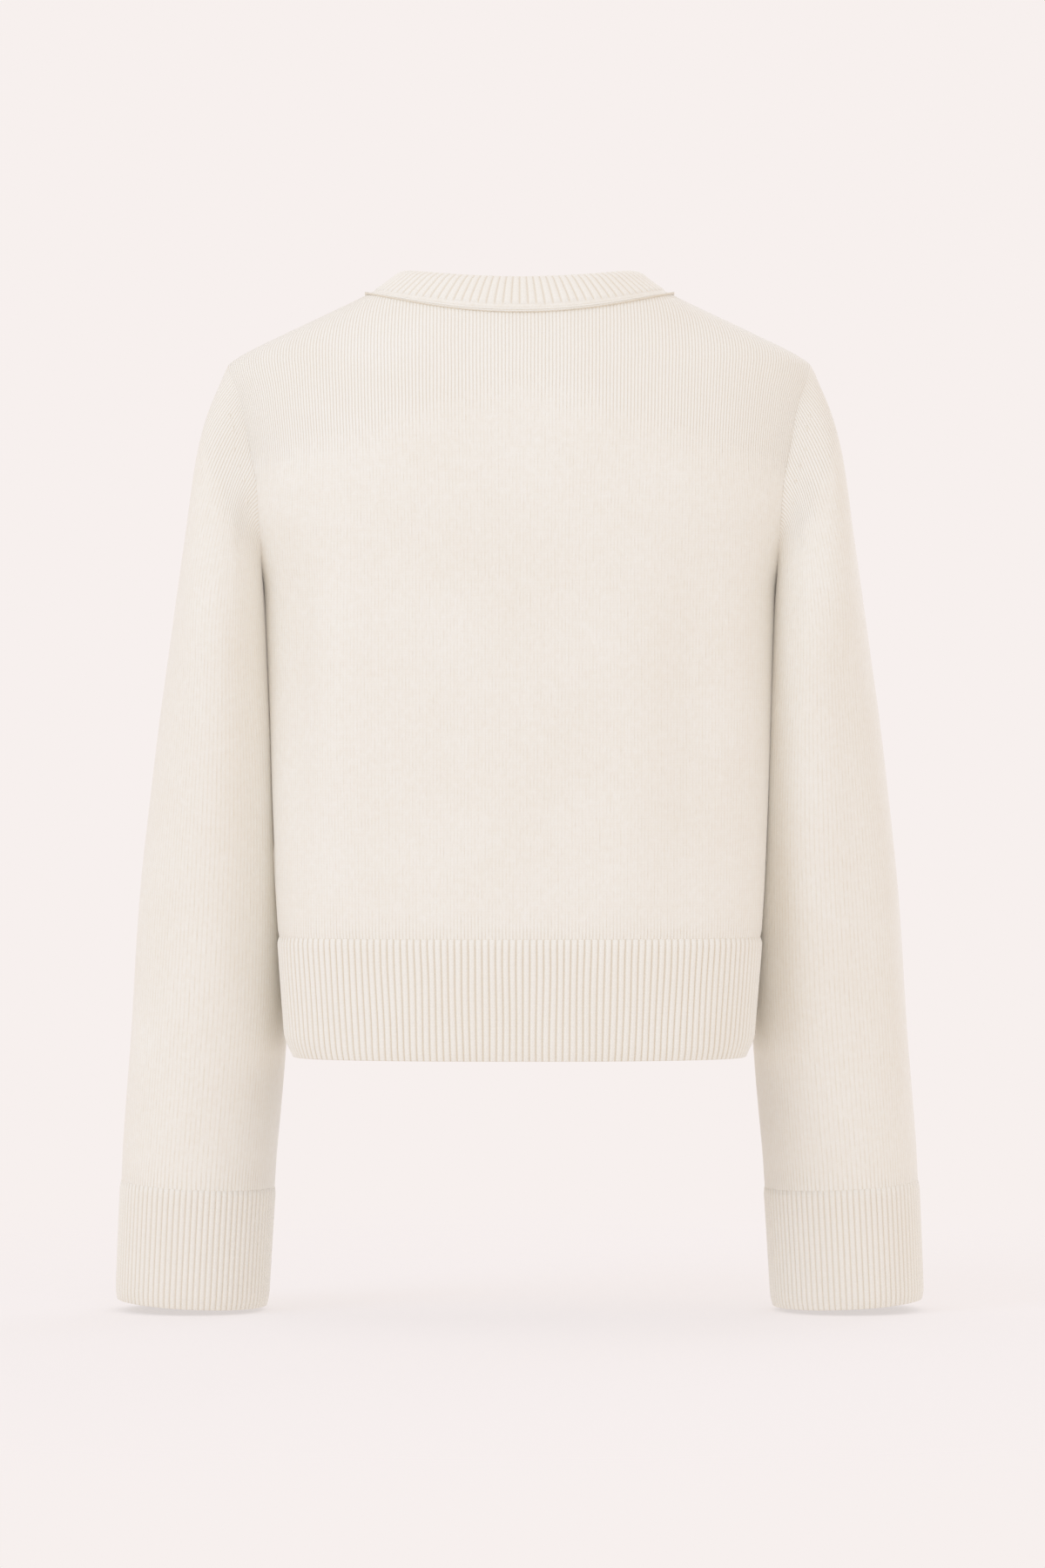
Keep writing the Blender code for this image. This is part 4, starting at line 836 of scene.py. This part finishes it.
# ---------------------------------------------------------------- neckband and its linking
# A tall rib band, knitted apart and linked stitch by stitch to the neckline. Below its ribs it has a few
# plain rows, and the linking itself shows as two fine cords along the neckline, pressed flat at the shoulder
# seams. Its upper edge rolls in a little.
NECK_RIB, NECK_PLAIN, NECK_TALL, NECK_ARRIVE = 0.0057, 0.0045, 0.1, 0.9
NECK_RISE = 0.0007
NECK_AVERAGE = 0.025         # length over which the neckline's directions are evened out
NECK_STEP = 0.0009           # from row to row in the plain rows
NECK_SHARE, NECK_RIBS = 0.05, 0.030            # the same as a share of the ribs' height, and that height
CORD_WIDTH, CORD_RISE, CORD_LAP, CORD_SINK = 0.0020, 0.0004, 0.0010, 0.0007
CORD_TWIST, CORD_WALL = 0.22, 0.85             # swell of each stitch, and its backing as a share of WALL
PRESSED_HALF, PRESSED_FLAT = 0.20, 0.85        # turn beside the shoulder seams, and how flat it is there
COLLAR_HALF, COLLAR_BACK, COLLAR_FRONT = 0.0765, 0.0500, -0.0610
COLLAR_TOP_BACK, COLLAR_TOP_SIDE, COLLAR_TOP_FRONT, COLLAR_DIP = 0.0128, 0.0204, -0.0545, 1.15
COLLAR_ROLL, ROLL_FROM = 0.0024, 0.0080        # how far the upper edge rolls in, and over what height
NECK_STITCH = 0.0023
NECK_RIBBING = knit("wool rib neckband", NECK_RIB, 0.0023, relief=0.00020, groove=0.32, narrow=2.6)
LINKING = knit("wool linking chain", CORD_WIDTH / 2, NECK_STITCH, relief=0.00008, groove=0.26, narrow=1.6)


def read_off(at, run, points):
    """Points of a line at the lengths given, between those it has."""
    return np.stack([np.interp(at, run, points[:, k]) for k in range(points.shape[1])], axis=-1)


def neck_line():
    """The neckline from the right front edge round the back to the left, 721 points at even distances: the
    points, the way the cloth faces, the way on towards the neck, and the turn round it (0 at the back, half a
    turn in front). Both directions are averaged over NECK_AVERAGE, and the turn is smooth through 25
    knots."""
    turns, sides = {1: neck_turns(0.0), -1: neck_turns(BAND_HALF)}, {}
    for side, turn in turns.items():
        x, z = neck_edge(turn, side)
        angle = angle_of(x, z)
        angle[-1] = np.pi / 2
        sides[side] = (cloth(-angle, z, side), cloth(angle, z, side), girth_to(angle, z, side))
    (right, left, front_girth), (back_right, back_left, back_girth) = sides[-1], sides[1]
    points, facing = (np.concatenate([
        right[k][:-1], (right[k][-1:] + back_right[k][-1:]) / 2, back_right[k][-2:0:-1], back_left[k][:-1],
        (left[k][-1:] + back_left[k][-1:]) / 2, left[k][-2::-1]]) for k in (0, 1))
    turn = np.concatenate([turns[-1] - np.pi, -turns[1][-2:0:-1], turns[1], np.pi - turns[-1][-2::-1]])
    run = runs(points)
    front, back = (np.interp(np.linspace(girth[0], girth[-1], 7), girth, turns[side])
                   for side, girth in ((-1, front_girth), (1, back_girth)))
    knots = np.concatenate([front - np.pi, -back[-2:0:-1], back, np.pi - front[-2::-1]])
    even = np.linspace(0, run[-1], 721)
    turn = smooth(even, np.interp(knots, turn, run), knots)
    points, facing = (read_off(even, run, v) for v in (points, facing))
    window = np.hanning(2 * int(NECK_AVERAGE / even[1]) + 3)[1:-1]
    reach = len(window) // 2
    averaged = []
    for v in (facing, np.cross(unit(np.gradient(points, axis=0)), unit(facing))):
        padded = np.pad(v, ((reach, reach), (0, 0)), mode="reflect")
        v = unit(np.stack([np.convolve(padded[:, k], window, mode="valid") for k in range(3)], axis=-1))
        v[[0, -1], 0] = 0
        averaged.append(unit(v))
    return points, *averaged, turn


def collar_edge(turn):
    """Upper edge of the neckband: an oval in plan, level behind and dipping in front with a power of cos."""
    below = np.pi / 2 - np.arcsin(BAND_HALF / NECK_HALF)
    above = np.pi / 2 - np.arcsin(BAND_HALF / COLLAR_HALF)
    past = np.clip(np.abs(turn) - np.pi / 2, 0, None)
    turn = np.sign(turn) * (np.minimum(np.abs(turn), np.pi / 2) + past * above / below)
    cosine = np.cos(turn)
    y = np.where(cosine > 0, COLLAR_BACK, -COLLAR_FRONT) * cosine
    back = COLLAR_TOP_BACK + (COLLAR_TOP_SIDE - COLLAR_TOP_BACK) * np.sin(turn) ** 2
    front = COLLAR_TOP_SIDE - (COLLAR_TOP_SIDE - COLLAR_TOP_FRONT) * np.abs(cosine) ** COLLAR_DIP
    return np.stack([COLLAR_HALF * np.sin(turn), y, np.where(cosine > 0, back, front)], axis=-1)


def neck_grid(line, at, distances):
    """Ground of a strip round the neck: curves from the neckline to the collar's edge, which leave as the
    cloth does and arrive straight, cut at the given distances above the neckline."""
    points, facing, onward, turn = line
    place = np.linspace(0, 1, len(points))
    start, faces, leave = (read_off(at, place, v) for v in (points, facing, onward))
    turns = np.interp(at, place, turn)
    lift = np.where(np.abs(turns) > np.pi / 2, lap_lift(start[:, 0]), 0)
    end = collar_edge(turns) + unit(faces) * lift[:, None]
    reach = np.linalg.norm(end - start, axis=1)[:, None]
    curve = (start, unit(leave) * reach, end, (end - start) * NECK_ARRIVE)
    share = np.stack([np.minimum(distance / reach, 1) for distance in distances])
    grid = carried(*curve, share)
    up = carried(*curve, np.minimum(share + 0.02, 1)) - carried(*curve, np.maximum(share - 0.02, 0))
    out = np.cross(up, np.gradient(grid, axis=1))
    out[:, [0, -1], 0] = 0
    return grid, unit(out), reach


line = neck_line()
neck_long = float(np.linalg.norm(np.diff(line[0], axis=0), axis=1).sum())
at, up_cord = np.linspace(0, 1, 401), np.linspace(0, 1, 25)
grid, out, _ = neck_grid(line, at, -CORD_LAP + (CORD_WIDTH + REST_GAP + TUCK / 2 + CORD_LAP) * up_cord)
turns = np.interp(at, np.linspace(0, 1, len(line[3])), line[3])
pressed = np.exp(-((np.abs(turns) - np.pi / 2) / PRESSED_HALF) ** 2)
grid = grid - out * (CORD_SINK * pressed)[:, None]
proud = CORD_RISE * (1 - PRESSED_FLAT * pressed) * np.abs(np.sin(2 * np.pi * up_cord))[:, None] ** 0.8
twist = 1 + CORD_TWIST * np.sin(at * neck_long / NECK_STITCH * 2 * np.pi)
uv = np.stack([up_cord[:, None] * CORD_WIDTH + 0 * at, at * neck_long + 0 * up_cord[:, None]], axis=-1)
linking = shell("linking_cord", grid + out * (proud * twist)[..., None], grid - out * CORD_WALL * WALL, uv,
                1.0, lips=(CORD_RISE, CORD_RISE, LIP, LIP))
worn(linking, "neck_cord", LINKING)

ribs = int(round(neck_long / NECK_RIB))
at = np.linspace(0, 1, ribs * RIB_POINTS + 1)
base = REST_GAP + CORD_WIDTH
reach = neck_grid(line, at, (0.0,))[2]
plain = ruled(base, base + NECK_PLAIN, NECK_STEP, (LIP / 2, 0))
rest = ruled(0, 1, NECK_SHARE, (0, LIP / NECK_RIBS))[1:]
distances = [*(d + 0 * reach for d in plain),
             *(base + NECK_PLAIN + r * (reach - base - NECK_PLAIN) for r in rest)]
grid, out, _ = neck_grid(line, at, distances)
to_edge = np.clip(1 - (runs(grid)[-1] - runs(grid)) / ROLL_FROM, 0, 1)
grid = grid - out * (COLLAR_ROLL * to_edge ** 2)[..., None]
outer, inner = rib_wall(grid, out, plain=NECK_PLAIN - RIB_START, rise=NECK_RISE)
uv = np.stack([at * ribs * NECK_RIB + 0 * grid[..., 2], runs(grid)], axis=-1)
crisp = RIB_CRISP * ease((runs(grid) - NECK_PLAIN + 0.003) / 0.003)
piece = shell("ribbing_neckband", outer, inner, uv, crisp, lips=SEAMED)
worn(piece, "neckband", NECK_RIBBING)

# ---------------------------------------------------------------- front bands
# Two rib strips linked to the front edges, from the hem's edge to the top of the neckband. The right one,
# with the buttonholes, laps over the left one.
BAND_RIB, BAND_ROW = 0.0043, 0.0042
BAND_RIBS = int(round(2 * BAND_HALF / BAND_RIB))
BAND_NECK_ROWS = (0.006, 0.010, 0.014, 0.018, 0.022, NECK_TALL)  # their places beside the neckband
BAND_RIBBING = knit("wool rib band", 2 * (BAND_HALF + TUCK) / BAND_RIBS, 0.0020, relief=0.00026,
                    groove=0.46, narrow=3.0)

below = np.linspace(HEM_EDGE, FRONT_NECK - 0.004, 140)
_, front_y = on_form(0 * below, below, -1)
beside, _, _ = neck_grid(line, np.array([0.999, 1.0]), BAND_NECK_ROWS)
edge = np.concatenate([np.stack([front_y + TUCK / 2, below], axis=1), beside[:, -1, 1:]])
run = runs(edge)
even = np.linspace(0, run[-1], 321)
edge = read_off(even, run, edge)
padded = np.concatenate([2 * edge[:1] - edge[12:0:-1], edge, 2 * edge[-1:] - edge[-2:-14:-1]])
edge = np.stack([np.convolve(padded[:, k], np.hanning(27)[1:-1] / np.hanning(27).sum(), mode="valid")
                 for k in (0, 1)], axis=1)
rows = ruled(0, run[-1], BAND_ROW, (LIP, LIP))
across = np.linspace(-BAND_HALF - TUCK, BAND_HALF + TUCK, BAND_RIBS * RIB_POINTS + 1)
y, z = (np.interp(rows, even, edge[:, k]) for k in (0, 1))
slope_y, slope_z = (np.interp(rows, even, np.gradient(edge[:, k])) for k in (0, 1))
out = unit(np.stack([0 * y, -slope_z, slope_y], axis=-1))
for node, rise in (("band_left", 0.0), ("band_right", LAP)):
    shape = (len(rows), len(across))
    points = np.stack([np.broadcast_to(across, shape), np.broadcast_to(y[:, None], shape),
                       np.broadcast_to(z[:, None], shape)], axis=-1)
    face = np.broadcast_to(out[:, None, :], (*shape, 3))
    outer, inner = rib_wall(points + face * rise, face)
    uv = np.stack([across - across[0] + 0 * points[..., 2], runs(points)], axis=-1)
    piece = shell(f"ribbing_{node}", outer, inner, uv, RIB_CRISP)
    worn(piece, node, BAND_RIBBING)

# ---------------------------------------------------------------- buttons
# Six round four-hole buttons, turned from pale corozo nut and polished, with a raised rim and a dished face,
# sewn on with doubled thread. Each stays in its buttonhole, so the front is closed.
BUTTON_RADIUS, BUTTON_THICK = 0.0075, 0.0028
BUTTON_HEIGHTS = np.linspace(-0.0655, -0.4655, 6)
DISH, DISH_LOW, DISH_RISE = 0.66, 0.58, 0.05   # share of the radius; of the thickness, in it and to its edge
HOLE_AT, HOLE_RADIUS, HOLE_DEEP = 0.0017, 0.00065, 0.0012
HOLE_FLAT, HOLE_SLOPE = 0.55, 0.75             # shares of a hole's radius
THREAD_RADIUS, THREAD_SIDES = 0.00032, 8
THREAD_FROM, THREAD_ARCH = 0.60 * BUTTON_THICK - 0.0004, 0.0010    # height of a strand's ends, and its arch
THREADS_APART = 0.55         # each thread of a pair lies this many radii to its side
BUTTON_SIDES = 64

corozo = bpy.data.materials.new("polished corozo nut")
corozo.use_nodes = True
tree = corozo.node_tree
tree.nodes.clear()
here = tree.nodes.new("ShaderNodeTexCoord").outputs["Object"]
turned = add(tree, "ShaderNodeMapping",
             {"Vector": here, "Scale": (1.0, 1.0, 5.0), "Rotation": (0.3, 0.9, 0.2)})
grain = add(tree, "ShaderNodeTexNoise", {"Vector": turned, "Scale": 360.0, "Detail": 6.0, "Roughness": 0.65,
                                         "Distortion": 0.4})
veins = add(tree, "ShaderNodeMapRange", {"Value": grain, "From Min": 0.35, "From Max": 0.70})
mix = add(tree, "ShaderNodeMix", {0: veins, 6: linear("#efe7d7"), 7: linear("#e4d9c5")}, data_type="RGBA")
scratch = add(tree, "ShaderNodeBump", {"Height": grain, "Distance": 0.00001, "Strength": 0.5})
gloss = add(tree, "ShaderNodeMapRange", {"Value": grain, "From Min": 0.3, "From Max": 0.7,
                                         "To Min": 0.24, "To Max": 0.38})
shader = add(tree, "ShaderNodeBsdfPrincipled", {
    "Base Color": mix.node.outputs[2], "Roughness": gloss, "Normal": scratch, "IOR": 1.53,
    "Coat Weight": 0.25, "Coat Roughness": 0.12})
add(tree, "ShaderNodeOutputMaterial", {"Surface": shader})

rim = np.array([0.0, 0.75, 0.92, 0.985, 1.0, 0.99, 0.96, 0.91, 0.86, 0.81, 0.77, 0.74, 0.70]) * BUTTON_RADIUS
rim_h = np.array([0.0, 0.0, 0.10, 0.28, 0.50, 0.74, 0.90, 0.99, 1.0, 0.95, 0.84, 0.73, 0.66]) * BUTTON_THICK
face = np.linspace(DISH * BUTTON_RADIUS, 0, 19)
face_h = (DISH_LOW + DISH_RISE * (face / BUTTON_RADIUS / DISH) ** 2) * BUTTON_THICK
radius, height = np.concatenate([rim, face]), np.concatenate([rim_h, face_h])
spin = np.linspace(0, 2 * np.pi, BUTTON_SIDES, endpoint=False)
ring_x, ring_y = radius[:, None] * np.cos(spin), radius[:, None] * np.sin(spin)
holes = np.array([(i, j) for i in (-1, 1) for j in (-1, 1)]) * HOLE_AT / np.sqrt(2)
away = np.min([np.hypot(ring_x - hx, ring_y - hy) for hx, hy in holes], axis=0)
on_face = (np.arange(len(radius)) >= len(rim))[:, None]
sunk = HOLE_DEEP * (1 - ease((away / HOLE_RADIUS - HOLE_FLAT) / HOLE_SLOPE)) * on_face
disc = np.stack([ring_x, ring_y, height[:, None] - sunk], axis=-1)
disc_points = np.concatenate([disc[0, :1], disc[1:-1].reshape(-1, 3), disc[-1, :1]])
quads = hose_faces(len(radius) - 2, BUTTON_SIDES)[0] + 1
c = np.arange(BUTTON_SIDES)
after = (c + 1) % BUTTON_SIDES
seat_fan = np.stack([0 * c, after + 1, c + 1], axis=1)
last_ring = (len(radius) - 3) * BUTTON_SIDES + 1
face_fan = np.stack([last_ring + c, last_ring + after, 0 * c + len(disc_points) - 1], axis=1)
disc_faces = [*quads.tolist(), *seat_fan.tolist(), *face_fan.tolist()]

bend = np.linspace(0, np.pi, 13)
strand_line = np.stack([-np.cos(bend) * HOLE_AT / np.sqrt(2), 0 * bend,
                        THREAD_FROM + THREAD_ARCH * np.sin(bend) ** 0.6], axis=-1)
tangent = unit(np.gradient(strand_line, axis=0))
aside = np.broadcast_to((0.0, 1.0, 0.0), tangent.shape)
over = np.cross(tangent, aside)
strand_turn = np.linspace(0, 2 * np.pi, THREAD_SIDES, endpoint=False)
strand = (strand_line[:, None] + THREAD_RADIUS * (np.cos(strand_turn)[:, None] * aside[:, None]
                                                  + np.sin(strand_turn)[:, None] * over[:, None]))

thread_points, thread_faces = [], []
for number, level in enumerate(BUTTON_HEIGHTS, start=1):
    y, z = np.interp(level, edge[:, 1], edge[:, 0]), level
    k = np.searchsorted(edge[:, 1], level)
    slope = unit(edge[k + 1] - edge[k - 1])
    facing = np.array([0, -slope[1], slope[0]])
    up = np.cross(facing, (1.0, 0, 0))
    axes = np.stack([np.array([1.0, 0, 0]), unit(up), facing])
    seat = np.array([0, y, z]) + facing * (LAP + RIB_RISE + REST_GAP)
    button = new_piece(f"corozo_button_{number}", seat + disc_points @ axes, disc_faces)
    button.data.materials.append(corozo)
    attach(button, "root")
    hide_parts(f"button_{number}")
    for hy in (-1, 1):
        for shift in (-THREADS_APART, THREADS_APART):
            sideways = hy * HOLE_AT / np.sqrt(2) + shift * THREAD_RADIUS
            moved = strand.reshape(-1, 3) + np.array([0, sideways, 0])
            for part in hose_faces(len(bend), THREAD_SIDES):
                thread_faces += (part + len(moved) * len(thread_points)).tolist()
            thread_points.append(seat + moved @ axes)

threads = new_piece("button_threads", np.concatenate(thread_points), thread_faces)
sewing = bpy.data.materials.new("ivory polyester sewing thread")
sewing.use_nodes = True
tree = sewing.node_tree
shader = tree.nodes["Principled BSDF"]
shader.inputs["Base Color"].default_value = linear("#ece3d2")
shader.inputs["Roughness"].default_value = 0.55
shader.inputs["Sheen Weight"].default_value = 0.2
threads.data.materials.append(sewing)
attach(threads, "root")

# ---------------------------------------------------------------- studio
# A pale translucent table lit from below, so that its shadows stay faint, fading into an even pale surround.
# Soft light from high on the left of the picture, weaker ones from beside the camera and from the garment's
# front, and a long lens square on.
FLOOR, FLOOR_RADIUS = -0.6788, 1.4
FADE_FROM, FADE_TO = 0.40, 1.30                # distances from the middle over which the table fades
SURROUND = "#f7f0ee"
TABLE_GLOW = 0.66            # share of the table's light that comes from below
bpy.ops.mesh.primitive_circle_add(vertices=96, radius=FLOOR_RADIUS, fill_type="NGON", location=(0, 0, FLOOR))
floor = bpy.context.object
floor.name = "floor"
paper = bpy.data.materials.new("matt studio paper")
paper.use_nodes = True
tree = paper.node_tree
tree.nodes.clear()
here = tree.nodes.new("ShaderNodeTexCoord").outputs["Object"]
far = add(tree, "ShaderNodeVectorMath", {0: here}, operation="LENGTH").node.outputs["Value"]
fade = add(tree, "ShaderNodeMapRange", {"Value": far, "From Min": FADE_FROM, "From Max": FADE_TO},
           interpolation_type="SMOOTHSTEP")
matt = add(tree, "ShaderNodeBsdfDiffuse", {"Color": linear("#f3efee")})
glow = add(tree, "ShaderNodeEmission", {"Color": linear(SURROUND)})
table = add(tree, "ShaderNodeMixShader", {0: TABLE_GLOW, 1: matt, 2: glow})
gone = add(tree, "ShaderNodeBsdfTransparent")
surface = add(tree, "ShaderNodeMixShader", {0: fade, 1: table, 2: gone})
add(tree, "ShaderNodeOutputMaterial", {"Surface": surface})
floor.data.materials.append(paper)

world = bpy.data.worlds.new("studio")
world.use_nodes = True
sky = world.node_tree.nodes["Background"]
sky.inputs["Color"].default_value = linear(SURROUND)
sky.inputs["Strength"].default_value = 1.0
bpy.context.scene.world = world
bpy.context.scene.view_settings.view_transform = "Standard"


def softbox(name, place, size, power, colour):
    """Square area light of the given side and power in watts, pointed from its place at the garment."""
    light = bpy.data.lights.new(name, "AREA")
    light.shape, light.size, light.energy, light.color = "SQUARE", size, power, linear(colour)[:3]
    holder = bpy.data.objects.new(name, light)
    bpy.context.scene.collection.objects.link(holder)
    holder.location = place
    holder.rotation_euler = (Vector(LIT) - Vector(place)).to_track_quat("-Z", "Y").to_euler()


LIT = (0, 0, -0.3)           # all the lights point here
softbox("key", (2.6, 2.3, 1.9), 1.8, 30, "#c0deff")
softbox("fill", (-1.3, 4.6, 0.8), 2.2, 18.5, "#bddcff")
softbox("front_fill", (-1.6, -3.0, 1.0), 2.0, 20, "#d2e6ff")

DISTANCE, CENTRE_X, CENTRE_Z = 4.0, -0.0019, -0.3225
PICTURE_PIXELS, PIXEL = 1800, 0.00058          # height of the picture, and what one of its pixels shows
camera = bpy.data.cameras.new("camera")
camera.sensor_fit = "VERTICAL"
camera.sensor_height = 36
camera.lens = camera.sensor_height * DISTANCE / (PICTURE_PIXELS * PIXEL)
camera.clip_end = 60
holder = bpy.data.objects.new("camera", camera)
bpy.context.scene.collection.objects.link(holder)
holder.location = (CENTRE_X, DISTANCE, CENTRE_Z)
holder.rotation_euler = (np.pi / 2, 0, np.pi)
bpy.context.scene.camera = holder
